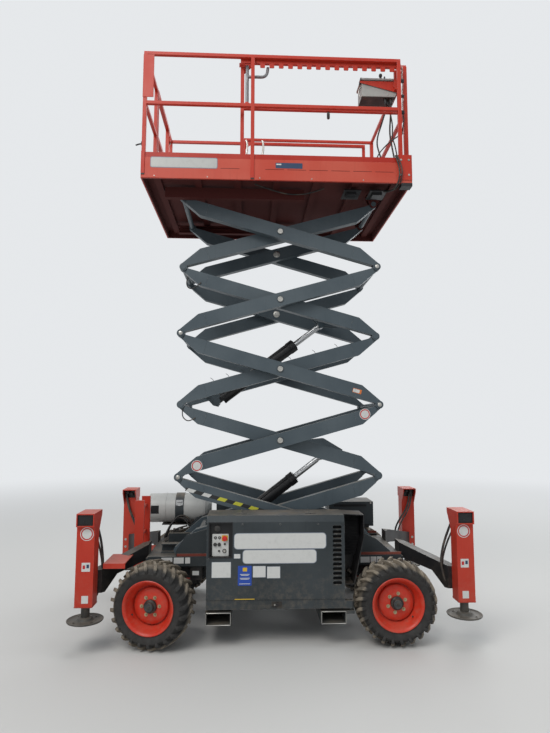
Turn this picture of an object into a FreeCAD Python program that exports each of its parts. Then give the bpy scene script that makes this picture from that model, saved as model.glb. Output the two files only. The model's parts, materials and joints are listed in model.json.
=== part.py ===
# Rough terrain scissor lift with a roll-out deck, levelling outriggers and swing-out side trays.
# Millimetres. +X points to the fixed end of the scissor stack, +Y to the far side, +Z up.
# The origin lies on the ground under the middle of the machine.
import FreeCAD, Part
import math
import os
import Sketcher
from FreeCAD import Placement, Rotation, Vector

# Driving dimensions: alias, value, meaning.
SIZES = [
    ("arm_length", 1932, "scissor arm from pin to pin"),
    ("rest_angle", 19.6, "slope of the pin line as the machine stands, degrees"),
    ("base_pin_z", 670, "height of the lowest pins"),
    ("stack_shift", 40, "middle of the stack towards its fixed end"),
    ("arm_depth", 127, "height of an arm's tube"),
    ("arm_width", 75, "width of an arm's tube"),
    ("inner_arm_y", 302.5, "middle of an inner arm's tube"),
    ("outer_arm_y", 397.5, "middle of an outer arm's tube"),
    ("pin_offset", 66, "end pin to the axis of the tube"),
    ("taper_length", 207, "slanted cut at each end of a tube"),
    ("nose_radius", 36, "round end of forks and tongues"),
    ("nose_room", 8, "free room round a nose"),
    ("cheek_thickness", 12, "plate of a fork"),
    ("tongue_width", 45, "plate between two fork cheeks"),
    ("tongue_root", 130, "reach of a tongue into its tube"),
    ("joint_radius", 24, "cross tube on a joint's axis"),
    ("centre_radius", 20, "pin in the middle of two arms"),
    ("head_radius", 27, "head of a centre pin"),
    ("head_thickness", 8, "head of a pin"),
    ("pin_play", 0.3, "radial room of a pin"),
    ("shaft_play", 5, "end of a cross tube beyond its fork"),
    ("roller_radius", 25, "rollers that run in the tracks"),
    ("roller_width", 36, "rollers that run in the tracks"),
    ("track_play", 5, "room of a roller in its track"),
    ("track_wall", 8, "plate of a track"),
    ("track_gap", 10, "end of a roller to the web of its track"),
    ("eye_along", 302, "barrel eye along a lower arm"),
    ("eye_below", 76, "barrel eye below the pin line"),
    ("mount_along", 225, "cross tube that carries the barrel's ears"),
    ("mount_above", 62, "that cross tube above the pin line"),
    ("mount_radius", 28, "cross tubes that carry the ears"),
    ("rod_along", 507, "rod eye along an upper arm"),
    ("rod_below", 8, "rod eye below the pin line"),
    ("stub_above", 45, "ear stubs above the pin line"),
    ("ear_inner_y", 36, "inner face of an ear"),
    ("ear_thickness", 12, "plate of an ear"),
    ("ear_radius", 42, "round end of an ear"),
    ("barrel_radius", 57.5, "lift cylinder"),
    ("barrel_share", 0.7413, "lift cylinder's length as a share of the way between its eyes"),
    ("barrel_start", 66, "barrel's foot from its eye"),
    ("gland_radius", 62, "head of the cylinder"),
    ("gland_length", 70, "head of the cylinder"),
    ("rod_radius", 27, "piston rod"),
    ("rod_share", 0.7645, "piston rod's length as a share of that way"),
    ("eye_radius", 34, "eyes of the lift cylinder"),
    ("eye_width", 60, "eyes of the lift cylinder across"),
    ("foot_pin_radius", 17, "pin through a barrel's eye"),
    ("beam_inner_y", 170, "inner face of a chassis beam"),
    ("beam_waist_y", 370, "outer face of a chassis beam below its ledge"),
    ("beam_outer_y", 453, "outer face of a chassis beam's ledge"),
    ("beam_bottom_z", 440, "chassis beams"),
    ("beam_ledge_z", 565, "under side of the ledge"),
    ("beam_top_z", 628, "chassis beams"),
    ("beam_beyond", 220, "chassis beyond half the stack's span"),
    ("end_beam_width", 100, "beams across the ends"),
    ("trough_thickness", 12, "side plates of the scissor trough"),
    ("trough_top_z", 875, "side plates of the scissor trough"),
    ("track_end_x", 260, "inner end of the lower track"),
    ("steer_axle_beyond", 75, "steered axle beyond half the stack's span"),
    ("drive_axle_beyond", 65, "fixed axle beyond half the stack's span"),
    ("axle_z", 335, "wheel centres above the ground"),
    ("axle_height", 120, "axle beam"),
    ("axle_width", 120, "axle beam"),
    ("axle_end_y", 480, "end of an axle beam"),
    ("kingpin_y", 600, "steering axis from the middle"),
    ("kingpin_radius", 20, "steering pin"),
    ("yoke_gap", 170, "between the two arms of a yoke"),
    ("yoke_arm", 25, "arm of a yoke"),
    ("yoke_radius", 38, "round end of a yoke"),
    ("knuckle_radius", 62, "steered hub housing"),
    ("steer_angle", -11.7, "how far the steered wheels stand turned, degrees"),
    ("wheel_y", 720, "middle of a wheel from the middle of the machine"),
    ("wheel_radius", 335, "tyre out to the tips of its lugs"),
    ("wheel_width", 300, "tyre"),
    ("lug_height", 22, "tyre lugs"),
    ("lug_pairs", 18, "tyre lugs on each half of the tread"),
    ("lug_width", 40, "tyre lug"),
    ("lug_lean", 27, "tyre lug against the wheel's axis, degrees"),
    ("lug_root", 46, "tyre lug down into the carcass"),
    ("tyre_sides", 24, "flats round a tyre's carcass"),
    ("bead_radius", 208, "tyre's bead seat"),
    ("shoulder", 42, "rounded shoulder of a tyre"),
    ("flange_radius", 224, "rim's flange"),
    ("rim_wall", 9, "rim"),
    ("bead_play", 0.3, "rim below the tyre's bead"),
    ("disc_offset", 66, "wheel disc from the middle of the wheel"),
    ("disc_thickness", 12, "wheel disc"),
    ("dish_step", 40, "slanted wall between rim and disc"),
    ("hub_radius", 64, "wheel's hub"),
    ("spindle_radius", 34, "spindle"),
    ("spindle_end", 112, "spindle beyond the middle of the wheel"),
    ("pocket_near_x", -480, "fork pocket towards the steered end"),
    ("pocket_far_x", 455, "fork pocket towards the fixed end"),
    ("pocket_width", 209, "fork pocket"),
    ("pocket_bottom_z", 180, "fork pocket"),
    ("pocket_height", 103, "fork pocket"),
    ("pocket_wall", 10, "fork pocket"),
    ("pocket_end_y", 800, "fork pocket"),
    ("tray_left_x", -580, "side tray"),
    ("tray_right_x", 550, "side tray"),
    ("tray_inner_y", 480, "side tray"),
    ("tray_outer_y", 800, "side tray"),
    ("tray_bottom_z", 300, "side tray"),
    ("near_tray_top_z", 1040, "near side tray"),
    ("far_tray_top_z", 968, "far side tray"),
    ("tray_chamfer", 50, "slanted edge along a tray's top"),
    ("tray_chamfer_run", 25, "slanted edge inwards"),
    ("tray_wall", 6, "sheet of a tray"),
    ("tray_skirt", 80, "inset lower edge of a tray"),
    ("tray_inset", 8, "depth of that inset"),
    ("slot_count", 13, "louvre slots of the near tray"),
    ("slot_left_x", 452, "louvre slot"),
    ("slot_width", 73, "louvre slot"),
    ("slot_height", 26, "louvre slot"),
    ("slot_low_z", 490, "lowest louvre slot"),
    ("slot_pitch", 36.9, "from slot to slot"),
    ("panel_left_x", -557, "recess of the ground controls"),
    ("panel_width", 181, "recess of the ground controls"),
    ("panel_low_z", 713, "recess of the ground controls"),
    ("panel_height", 271, "recess of the ground controls"),
    ("panel_depth", 28, "recess of the ground controls"),
    ("latch_x", -7, "latch slot in the skirt"),
    ("latch_width", 77, "latch slot in the skirt"),
    ("latch_low_z", 318, "latch slot in the skirt"),
    ("latch_height", 39, "latch slot in the skirt"),
    ("hinge_x", 600, "tray hinge"),
    ("hinge_y", 770, "tray hinge"),
    ("hinge_radius", 12, "tray hinge pin"),
    ("hinge_lug", 26, "tray hinge lug"),
    ("shroud_right_x", 730, "radiator duct"),
    ("shroud_outer_y", 720, "radiator duct"),
    ("shroud_inner_y", 500, "radiator duct"),
    ("shroud_bottom_z", 466, "radiator duct"),
    ("shroud_bottom_x", 644, "radiator duct"),
    ("shroud_knee_z", 850, "radiator duct"),
    ("end_box_margin", 50, "far end box inside the chassis's end"),
    ("end_box_bottom_z", 715, "far end box"),
    ("engine_length", 620, "engine block"),
    ("engine_depth", 260, "engine block"),
    ("engine_height", 520, "engine block"),
    ("case_beyond", 620, "outrigger case beyond half the stack's span"),
    ("case_y", 805, "outrigger case"),
    ("case_width", 140, "outrigger case along the machine"),
    ("case_depth", 130, "outrigger case across the machine"),
    ("case_wall", 8, "outrigger case"),
    ("case_bottom_z", 355, "outrigger case"),
    ("case_top_z", 978, "outrigger case below its cap"),
    ("cap_top_z", 1080, "outrigger cap"),
    ("cap_flare", 80, "outrigger cap beyond its case towards the machine"),
    ("cap_gusset", 60, "slanted gusset below the cap's flare"),
    ("cap_edge", 34, "cap's edge above that gusset"),
    ("cap_lip", 28, "outrigger cap beyond its case outwards"),
    ("leg_room", 0.8, "outrigger leg in its case"),
    ("leg_top_z", 940, "outrigger leg"),
    ("pad_z", 236, "underside of an outrigger's pad"),
    ("pad_radius", 142, "outrigger's pad"),
    ("pad_thickness", 16, "outrigger's pad"),
    ("ball_radius", 42, "ball above a pad"),
    ("strut_width", 90, "outrigger arm"),
    ("strut_start_y", 250, "outrigger arm at the chassis"),
    ("strut_top_z", 722, "outrigger arm at the chassis"),
    ("strut_end_z", 590, "outrigger arm's top at its case"),
    ("strut_foot_z", 430, "outrigger arm's foot at its case"),
    ("tank_radius", 152, "gas tank"),
    ("tank_y", 622, "gas tank"),
    ("tank_z", 897, "gas tank"),
    ("tank_beyond", 160, "gas tank's collar beyond the chassis's end"),
    ("tank_length", 650, "gas tank with its collar"),
    ("tank_dome", 62, "domed end of the gas tank"),
    ("dome_share", 0.84, "dome's radius at its middle as a share of the tank's"),
    ("dome_flat", 0.5, "flat end of the dome as a share of the tank's radius"),
    ("collar_length", 140, "gas tank's collar"),
    ("collar_window", 84, "hand hole in the collar"),
    ("shelf_thickness", 12, "gas tank's shelf"),
    ("riser_width", 160, "riser below the gas tank's shelf"),
    ("lug_plate", 20, "tie-down lug"),
    ("lug_hole", 22, "hole of a tie-down lug"),
    ("lug_y", 216, "tie-down lug"),
    ("lug_z", 390, "tie-down lug"),
    ("ladder_beyond", 115, "ladder beyond the chassis's end"),
    ("ladder_width", 330, "ladder"),
    ("ladder_y", -30, "ladder"),
    ("ladder_depth", 83, "ladder's stiles"),
    ("ladder_top_z", 1085, "ladder"),
    ("ladder_bottom_z", 470, "ladder"),
    ("stile_thickness", 22, "ladder's stiles"),
    ("rung_radius", 14, "ladder's rungs"),
    ("rung_count", 3, "ladder's rungs"),
    ("step_z", 660, "side step on the near left outrigger arm"),
    ("step_inside", 120, "side step from the middle of the case"),
    ("step_length", 175, "side step along the machine"),
    ("step_outer_y", 780, "side step"),
    ("step_thickness", 8, "side step"),
    ("deck_beyond", 290, "platform beyond half the stack's span"),
    ("deck_half_y", 775, "platform"),
    ("deck_gap", 13, "platform's lower edge above the top pins"),
    ("floor_rise", 90, "platform's floor above its lower edge"),
    ("board_height", 239, "toe boards"),
    ("board_thickness", 20, "toe boards"),
    ("floor_thickness", 12, "platform's floor"),
    ("tread_plate", 3, "tread plate on the platform's floor"),
    ("tread_margin", 8, "tread plate inside the toe boards"),
    ("joist_height", 30, "joists below the floor"),
    ("joist_width", 60, "joists below the floor"),
    ("rail_rise", 1167, "top rail above the platform's lower edge"),
    ("mid_rail_rise", 700, "mid rail above the platform's lower edge"),
    ("rail_size", 38, "square tube of the rails"),
    ("plate_rise", 743, "corner plate above the platform's lower edge"),
    ("plate_height", 404, "corner plate"),
    ("plate_width", 96, "corner plate"),
    ("plate_thickness", 5, "corner plate"),
    ("post_x", -226, "post on the near and far side"),
    ("gate_near_y", -230, "gate"),
    ("gate_far_y", 550, "gate"),
    ("gate_play", 12, "gate between its posts"),
    ("gate_pin_radius", 5, "gate hinge"),
    ("gate_hinge_out", 9, "gate hinge's axis inside the gate's face"),
    ("gate_ring_radius", 9, "gate hinge's ring"),
    ("gate_knuckle", 60, "height of a gate hinge"),
    ("roll_left_x", -339, "roll-out deck's rear posts"),
    ("roll_half_y", 700, "roll-out deck"),
    ("roll_gap", 12, "roll-out deck above the floor"),
    ("roll_floor", 14, "roll-out deck's floor"),
    ("roll_board", 16, "toe boards of the roll-out deck"),
    ("skid_width", 40, "skids below the roll-out deck"),
    ("skid_play", 0.3, "skids above the floor"),
    ("roll_mid_rise", 726, "roll-out deck's mid rail"),
    ("tooth_count", 15, "teeth under the near top rail"),
    ("tooth_size", 40, "teeth under the near top rail"),
    ("tooth_depth", 36, "teeth under the near top rail"),
    ("box_margin", 80, "control box inside the platform's end"),
    ("box_length", 320, "control box"),
    ("box_y", -560, "control box"),
    ("box_depth", 190, "control box"),
    ("box_bottom_rise", 905, "control box above the platform's lower edge"),
    ("box_height", 120, "control box"),
    ("clearance", 6, "between pieces that move past each other"),
]

document = FreeCAD.newDocument("ScissorLift")
sheet = document.addObject("Spreadsheet::Sheet", "Sizes")
for row, (alias, number, meaning) in enumerate(SIZES, start=1):
    sheet.set("A%d" % row, meaning)
    sheet.set("B%d" % row, str(number))
    sheet.setAlias("B%d" % row, alias)
document.recompute()


class Size:
    """A length or angle as a number, with the formula on the sheet that gives it."""

    def __init__(self, formula, number):
        self.formula = formula
        self.number = number

    def joined(self, sign, other, number):
        return Size("(%s %s %s)" % (self.formula, sign, formula_of(other)), number)

    def __add__(self, other):
        return self.joined("+", other, self.number + number_of(other))

    def __sub__(self, other):
        return self.joined("-", other, self.number - number_of(other))

    def __mul__(self, other):
        return self.joined("*", other, self.number * number_of(other))

    def __truediv__(self, other):
        return self.joined("/", other, self.number / number_of(other))

    def __radd__(self, other):
        return as_size(other) + self

    def __rsub__(self, other):
        return as_size(other) - self

    def __rmul__(self, other):
        return as_size(other) * self

    def __neg__(self):
        return Size("(0 - %s)" % self.formula, -self.number)


def number_of(value):
    return value.number if isinstance(value, Size) else float(value)


def formula_of(value):
    return value.formula if isinstance(value, Size) else "(%.6f)" % value


def as_size(value):
    return value if isinstance(value, Size) else Size(formula_of(value), float(value))


def sine(angle):
    return Size("sin(%s)" % angle.formula, math.sin(math.radians(angle.number)))


def cosine(angle):
    return Size("cos(%s)" % angle.formula, math.cos(math.radians(angle.number)))


def distance(across, up):
    formula = "hypot(%s; %s)" % (across.formula, up.formula)
    return Size(formula, math.hypot(across.number, up.number))


class Sheet:
    """Gives each size on the sheet by its alias."""

    def __getattr__(self, alias):
        return Size("Sizes." + alias, float(sheet.get(alias)))


s = Sheet()
nodes = []


def bind(thing, path, value):
    if isinstance(value, Size):
        thing.setExpression(path, value.formula)


def place(thing, x=0, y=0, z=0, rotation=Rotation()):
    corner = Vector(number_of(x), number_of(y), number_of(z))
    thing.Placement = Placement(corner, rotation)
    for path, value in (("x", x), ("y", y), ("z", z)):
        bind(thing, "Placement.Base." + path, value)
    return thing


def add(kind, name):
    return document.addObject(kind, name)


def box(name, x, y, z):
    """Box between two values along each axis."""
    solid = add("Part::Box", name)
    for path, span in (("Length", x), ("Width", y), ("Height", z)):
        extent = as_size(span[1]) - span[0]
        setattr(solid, path, extent.number)
        bind(solid, path, extent)
    return place(solid, x[0], y[0], z[0])


def around(middle, width):
    """Low and high value about a middle."""
    return (middle - as_size(width) / 2, middle + as_size(width) / 2)


def mirrored(side, low, high):
    """Low and high value on one side of the middle plane: side is 1 or -1."""
    return (low, high) if side > 0 else (-as_size(high), -as_size(low))


TURNS = {
    "x": Rotation(Vector(0, 1, 0), 90),
    "y": Rotation(Vector(1, 0, 0), -90),
    "z": Rotation(),
}


def rod(name, axis, radius, start, end, x=0, y=0, z=0):
    """Cylinder along an axis between start and end, about the other two coordinates."""
    solid = add("Part::Cylinder", name)
    length = as_size(end) - start
    solid.Radius = number_of(radius)
    solid.Height = length.number
    bind(solid, "Radius", radius)
    bind(solid, "Height", length)
    spot = {"x": x, "y": y, "z": z}
    spot[axis] = start
    return place(solid, spot["x"], spot["y"], spot["z"], TURNS[axis])


PLANES = {
    "front": (Rotation(Vector(1, 0, 0), 90), Vector(0, 1, 0)),
    "plan": (Rotation(), Vector(0, 0, 1)),
    "side": (Rotation(Vector(1, 1, 1), 120), Vector(1, 0, 0)),
}


def outline(name, corners, plane):
    """Closed sketch through corners: front is XZ, plan is XY and side is YZ."""
    sketch = add("Sketcher::SketchObject", name + "_outline")
    count = len(corners)
    spots = [Vector(number_of(across), number_of(up), 0) for across, up in corners]
    for index in range(count):
        sketch.addGeometry(Part.LineSegment(spots[index], spots[(index + 1) % count]))
    for index in range(count):
        sketch.addConstraint(Sketcher.Constraint("Coincident", index, 2, (index + 1) % count, 1))
    for index, corner in enumerate(corners):
        for kind, value in zip(("DistanceX", "DistanceY"), corner):
            rule = Sketcher.Constraint(kind, -1, 1, index, 1, number_of(value))
            number = sketch.addConstraint(rule)
            bind(sketch, "Constraints[%d]" % number, value)
    sketch.Placement = Placement(Vector(), PLANES[plane][0])
    return sketch


def sweep(name, corners, plane, start, end):
    """Straight piece with an outline in one plane, between start and end across it."""
    sketch = outline(name, corners, plane)
    direction = PLANES[plane][1]
    solid = add("Part::Extrusion", name)
    solid.Base = sketch
    solid.DirMode = "Custom"
    solid.Dir = direction
    solid.Solid = True
    length = as_size(end) - start
    solid.LengthFwd = length.number
    bind(solid, "LengthFwd", length)
    path = {"front": "y", "plan": "z", "side": "x"}[plane]
    return place(solid, **{path: start})


def turned(name, corners):
    """Ring or disc about the Y axis: corners are radius and height along Y."""
    sketch = outline(name, corners, "plan")
    solid = add("Part::Revolution", name)
    solid.Source = sketch
    solid.Axis = Vector(0, 1, 0)
    solid.Base = Vector(0, 0, 0)
    solid.Angle = 360
    solid.Solid = True
    return solid


def fuse(name, pieces):
    solid = add("Part::MultiFuse", name)
    solid.Shapes = pieces
    solid.Refine = True
    return solid


def cut(name, base, tools):
    solid = add("Part::Cut", name)
    solid.Base = base
    solid.Tool = tools[0] if len(tools) == 1 else fuse(name + "_tools", tools)
    return solid


def group(name, pieces):
    """Solids of one sub-part that don't touch."""
    solid = add("Part::Compound", name)
    solid.Links = pieces
    return solid


def node(solid, label):
    solid.Label = label
    nodes.append(solid)
    return solid


SIDES = ((-1, "near"), (1, "far"))
rise = s.arm_length * sine(s.rest_angle)
half_span = s.arm_length * cosine(s.rest_angle) / 2
fixed_pin_x = s.stack_shift + half_span
slide_pin_x = s.stack_shift - half_span
beam_end_x = half_span + s.beam_beyond
steer_axle_x = -half_span - s.steer_axle_beyond
drive_axle_x = half_span + s.drive_axle_beyond
case_x = half_span + s.case_beyond
deck_half_x = half_span + s.deck_beyond


# Scissor arms, drawn with the lower pin at the origin and the upper pin along +X.
def tube_axis(along):
    return s.pin_offset - (2 * s.pin_offset / s.arm_length) * along


def tube_top(along):
    return tube_axis(along) + s.arm_depth / 2


def tube_bottom(along):
    return tube_axis(along) - s.arm_depth / 2


def slant(along):
    """Height of the slanted end above the lower pin line, from its nose to the tube's edge."""
    return s.nose_radius + (tube_top(s.taper_length) - s.nose_radius) * (along / s.taper_length)


def tube_corners(low, high):
    """Side view of a tube between two places, with its slanted ends."""
    return [
        (low, tube_bottom(low)),
        (s.arm_length - s.taper_length, tube_bottom(s.arm_length - s.taper_length)),
        (high, -slant(s.arm_length - high)),
        (high, tube_top(high)),
        (s.taper_length, tube_top(s.taper_length)),
        (low, slant(low)),
    ]


def arm_sides(name, middle, lower_end):
    """The two tubes of an arm with their fork or slide end below and their tongue above."""
    back = s.nose_radius + s.nose_room
    pieces = []
    holes = []
    for side, word in SIDES:
        tag = name + "_" + word
        low, high = around(side * middle, s.arm_width)
        tongue = around(side * middle, s.tongue_width)
        if lower_end == "slide":
            corners = tube_corners(as_size(0), s.arm_length - back)
            pieces.append(sweep(tag + "_tube", corners, "front", low, high))
            pieces.append(rod(tag + "_nose", "y", s.nose_radius, low, high))
        else:
            corners = tube_corners(back, s.arm_length - back)
            pieces.append(sweep(tag + "_tube", corners, "front", low, high))
            for edge, (start, end) in (("a", (low, low + s.cheek_thickness)),
                                       ("b", (high - s.cheek_thickness, high))):
                plate = [(0, tube_bottom(as_size(0))), (back + back, tube_bottom(back + back)),
                         (back + back, slant(back + back)), (0, s.nose_radius)]
                pieces.append(sweep(tag + "_cheek_" + edge, plate, "front", start, end))
                pieces.append(rod(tag + "_round_" + edge, "y", s.nose_radius, start, end))
            holes.append(rod(tag + "_bore", "y", s.joint_radius + s.pin_play,
                             low - s.clearance, high + s.clearance))
        root = s.arm_length - s.tongue_root
        plate = [(root, -slant(s.tongue_root)), (s.arm_length, -s.nose_radius),
                 (s.arm_length, tube_top(s.arm_length)), (root, tube_top(root))]
        pieces.append(sweep(tag + "_tongue", plate, "front", *tongue))
        pieces.append(rod(tag + "_tip", "y", s.nose_radius, *tongue, x=s.arm_length))
    return pieces, holes


def cross_tube(name, half_length):
    """Tube on the axis of the upper joint."""
    return rod(name, "y", s.joint_radius, -half_length, half_length, x=s.arm_length)


def centre_pins(name):
    """Stub pins that an outer arm carries into the middle of the inner arm."""
    pieces = []
    for side, word in SIDES:
        outer = s.outer_arm_y + s.arm_width / 2
        inner = s.inner_arm_y - s.arm_width / 2
        shank = mirrored(side, inner, outer)
        head = mirrored(side, outer, outer + s.head_thickness)
        middle = s.arm_length / 2
        pieces.append(rod(name + word + "_shank", "y", s.centre_radius, *shank, x=middle))
        pieces.append(rod(name + word + "_head", "y", s.head_radius, *head, x=middle))
    return pieces


def centre_bore(name):
    reach = s.inner_arm_y + s.arm_width
    return rod(name + "_centre", "y", s.centre_radius + s.pin_play, -reach, reach, x=s.arm_length / 2)


def barrel_mount(name):
    """Cross tube and two hanging ears that carry the foot of a lift cylinder."""
    reach = s.inner_arm_y - s.arm_width / 4
    pieces = [rod(name + "_cross", "y", s.mount_radius, -reach, reach,
                  x=s.mount_along, z=s.mount_above)]
    for side, word in SIDES:
        span = mirrored(side, s.ear_inner_y, s.ear_inner_y + s.ear_thickness)
        plate = [(s.mount_along - s.mount_radius, s.mount_above),
                 (s.eye_along - s.ear_radius, -s.eye_below - s.ear_radius / 3),
                 (s.eye_along, -s.eye_below - s.ear_radius),
                 (s.eye_along + s.ear_radius, -s.eye_below),
                 (s.eye_along + s.ear_radius, -s.eye_below + s.ear_radius / 2),
                 (s.mount_along + s.mount_radius, s.mount_above + s.mount_radius / 2)]
        pieces.append(sweep(name + "_ear_" + word, plate, "front", *span))
        boss = mirrored(side, s.ear_inner_y, s.ear_inner_y + 2 * s.ear_thickness)
        pieces.append(rod(name + "_boss_" + word, "y", s.eye_radius, *boss,
                          x=s.eye_along, z=-s.eye_below))
    pieces.append(rod(name + "_pin", "y", s.foot_pin_radius, -s.ear_inner_y - 1, s.ear_inner_y + 1,
                      x=s.eye_along, z=-s.eye_below))
    return pieces


def rod_mount(name):
    """Two tall ears on stub tubes that take the rod's eye, open between them."""
    pieces = []
    for side, word in SIDES:
        stub = mirrored(side, s.ear_inner_y, s.inner_arm_y - s.arm_width / 4)
        pieces.append(rod(name + "_stub_" + word, "y", s.mount_radius, *stub,
                          x=s.rod_along, z=s.stub_above))
        span = mirrored(side, s.ear_inner_y, s.ear_inner_y + s.ear_thickness)
        crown = tube_top(s.rod_along) + s.arm_depth / 2
        plate = [(s.rod_along - s.ear_radius, -s.rod_below),
                 (s.rod_along, -s.rod_below - s.ear_radius),
                 (s.rod_along + s.ear_radius, -s.rod_below),
                 (s.rod_along + 5 * s.ear_radius, tube_top(s.rod_along + 5 * s.ear_radius)),
                 (s.rod_along + s.ear_radius, crown),
                 (s.rod_along - 4 * s.ear_radius, crown - s.ear_radius),
                 (s.rod_along - 4 * s.ear_radius, tube_axis(s.rod_along))]
        pieces.append(sweep(name + "_ear_" + word, plate, "front", *span))
        boss = mirrored(side, s.ear_inner_y, s.ear_inner_y + 2 * s.ear_thickness)
        pieces.append(rod(name + "_boss_" + word, "y", s.eye_radius, *boss,
                          x=s.rod_along, z=-s.rod_below))
    return pieces


def rollers(name, along, inner_y, outer_y):
    """Rollers at one end of an arm, between two distances across."""
    return [rod(name + "_roller_" + word, "y", s.roller_radius, *mirrored(side, inner_y, outer_y), x=along)
            for side, word in SIDES]


def arm(label, level, leaning_left, outer, lower_end="fork", mount=None):
    """One arm as a node: two tubes joined by their cross tubes, set at its place in the stack."""
    middle = s.outer_arm_y if outer else s.inner_arm_y
    pieces, holes = arm_sides(label, middle, lower_end)
    end = middle + s.arm_width / 2 + (s.head_thickness if outer else s.shaft_play)
    half = s.arm_width / 2
    if outer and level == 5:
        end = middle + half + s.clearance + s.roller_width
        pieces += rollers(label, s.arm_length, end - s.roller_width, end)
    pieces.append(cross_tube(label + "_cross", end))
    if lower_end == "slide":
        reach = middle - half - s.clearance - s.roller_width
        pieces += rollers(label, 0, reach, reach + s.roller_width)
        pieces += [rod("%s_stub_%s" % (label, word), "y", s.centre_radius, *mirrored(side, reach, middle))
                   for side, word in SIDES]
    if outer:
        pieces += centre_pins(label)
    else:
        holes.append(centre_bore(label))
    if mount == "barrel":
        pieces += barrel_mount(label)
    if mount == "rod":
        pieces += rod_mount(label)
    body = cut(label, fuse(label + "_whole", pieces), holes)
    pin_z = s.base_pin_z + (level - 1) * rise
    slope = Rotation(Vector(0, 1, 0), -s.rest_angle.number)
    if leaning_left:
        place(body, fixed_pin_x, 0, pin_z, Rotation(Vector(0, 0, 1), 180) * slope)
    else:
        place(body, slide_pin_x, 0, pin_z, slope)
    return node(body, label)


def scissor_stack():
    """Five pairs of arms. Outer and inner arms take turns in leaning left."""
    for level in range(1, 6):
        odd = level % 2 == 1
        left_mount = None if odd else "rod"
        right_mount = "barrel" if odd and level < 5 else None
        inner_end = "slide" if level == 1 else "fork"
        arm("arm_%d_outer" % level, level, leaning_left=odd, outer=True)
        arm("arm_%d_inner" % level, level, leaning_left=not odd, outer=False,
            lower_end=inner_end, mount=left_mount or right_mount)


# Lift cylinders, drawn along +X from the barrel's eye.
def spot_on_arm(level, leaning_left, along, above):
    """Place of a point of an arm in the machine: its X and its Z."""
    run = along * cosine(s.rest_angle) - above * sine(s.rest_angle)
    climb = along * sine(s.rest_angle) + above * cosine(s.rest_angle)
    start = fixed_pin_x if leaning_left else slide_pin_x
    x = start - run if leaning_left else start + run
    return x, s.base_pin_z + (level - 1) * rise + climb


def lift_cylinder(number, level):
    foot_x, foot_z = spot_on_arm(level, False, s.eye_along, -s.eye_below)
    head_x, head_z = spot_on_arm(level + 1, True, s.rod_along, -s.rod_below)
    reach_x = head_x - foot_x
    reach_z = head_z - foot_z
    length = distance(reach_x, reach_z)
    barrel_end = length * s.barrel_share
    turn = Rotation(Vector(0, 1, 0), -math.degrees(math.atan2(reach_z.number, reach_x.number)))
    tag = "cylinder_%d" % number
    half = s.eye_width / 2
    lug = s.eye_width / 2 - s.ear_thickness / 2
    shell = [rod(tag + "_tube", "x", s.barrel_radius, s.barrel_start, barrel_end),
             rod(tag + "_gland", "x", s.gland_radius, barrel_end - s.gland_length, barrel_end),
             rod(tag + "_eye", "y", s.eye_radius, -half, half),
             box(tag + "_lug", (0, s.barrel_start), (-lug, lug), (-lug, lug))]
    bore = rod(tag + "_bore", "x", s.rod_radius + s.pin_play,
               s.barrel_start + s.rim_wall, barrel_end + s.clearance)
    eye = rod(tag + "_eye_bore", "y", s.foot_pin_radius + s.pin_play, -half - 1, half + 1)
    barrel = cut(tag + "_barrel", fuse(tag + "_shell", shell), [bore, eye])
    place(barrel, foot_x, 0, foot_z, turn)
    node(barrel, "lift_barrel_%d" % number)
    ram = [rod(tag + "_ram", "x", s.rod_radius, length - length * s.rod_share, length),
           rod(tag + "_rod_eye", "y", s.eye_radius, -half, half, x=length)]
    ram = fuse(tag + "_piston", ram)
    place(ram, foot_x, 0, foot_z, turn)
    node(ram, "lift_rod_%d" % number)


# Chassis.
def chassis_beam(side, word):
    """Long beam with its ledge and a tie-down lug below each end."""
    ledge = [(side * s.beam_inner_y, s.beam_bottom_z), (side * s.beam_waist_y, s.beam_bottom_z),
             (side * s.beam_waist_y, s.beam_ledge_z), (side * s.beam_outer_y, s.beam_ledge_z),
             (side * s.beam_outer_y, s.beam_top_z), (side * s.beam_inner_y, s.beam_top_z)]
    pieces = [sweep("beam_" + word, ledge, "side", -beam_end_x, beam_end_x)]
    holes = []
    for end, name in ((-1, "steered"), (1, "fixed")):
        tag = "tie_%s_%s" % (name, word)
        reach = mirrored(end, beam_end_x - s.lug_plate, beam_end_x)
        pieces += [box(tag + "_plate", reach, around(side * s.lug_y, 4 * s.lug_hole),
                       (s.lug_z, s.beam_bottom_z + 1)),
                   rod(tag + "_round", "x", 2 * s.lug_hole, *reach, y=side * s.lug_y, z=s.lug_z)]
        holes.append(rod(tag + "_hole", "x", s.lug_hole, reach[0] - 1, reach[1] + 1,
                         y=side * s.lug_y, z=s.lug_z))
    return cut("beam_body_" + word, fuse("beam_whole_" + word, pieces), holes)


def fork_pocket(word, middle):
    """Tube for a fork's tine across the machine, with the two hangers that hold it."""
    top = s.pocket_bottom_z + s.pocket_height
    length = s.pocket_end_y
    tube = cut("pocket_" + word,
               box("pocket_tube_" + word, around(middle, s.pocket_width), (-length, length),
                   (s.pocket_bottom_z, top)),
               [box("pocket_bore_" + word, around(middle, s.pocket_width - 2 * s.pocket_wall),
                    (-length - 1, length + 1), (s.pocket_bottom_z + s.pocket_wall, top - s.pocket_wall))])
    hangers = [box("hanger_" + word + name, around(middle, s.end_beam_width),
                   mirrored(side, s.beam_inner_y, s.beam_inner_y + s.end_beam_width), (top, s.beam_bottom_z))
               for side, name in SIDES]
    return [tube] + hangers


def tray_bracket(side, name):
    """Bracket beside a fork pocket with the standing pin of a side tray."""
    top = s.pocket_bottom_z + s.pocket_height
    spot_y = side * s.hinge_y
    return [box("tray_bracket_" + name, (s.pocket_far_x + s.pocket_width / 2, s.hinge_x + s.hinge_lug),
                around(spot_y, 2 * s.hinge_lug), (top - s.hinge_lug, top)),
            rod("tray_pin_" + name, "z", s.hinge_radius, top, s.tray_bottom_z + 70, x=s.hinge_x, y=spot_y)]


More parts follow.
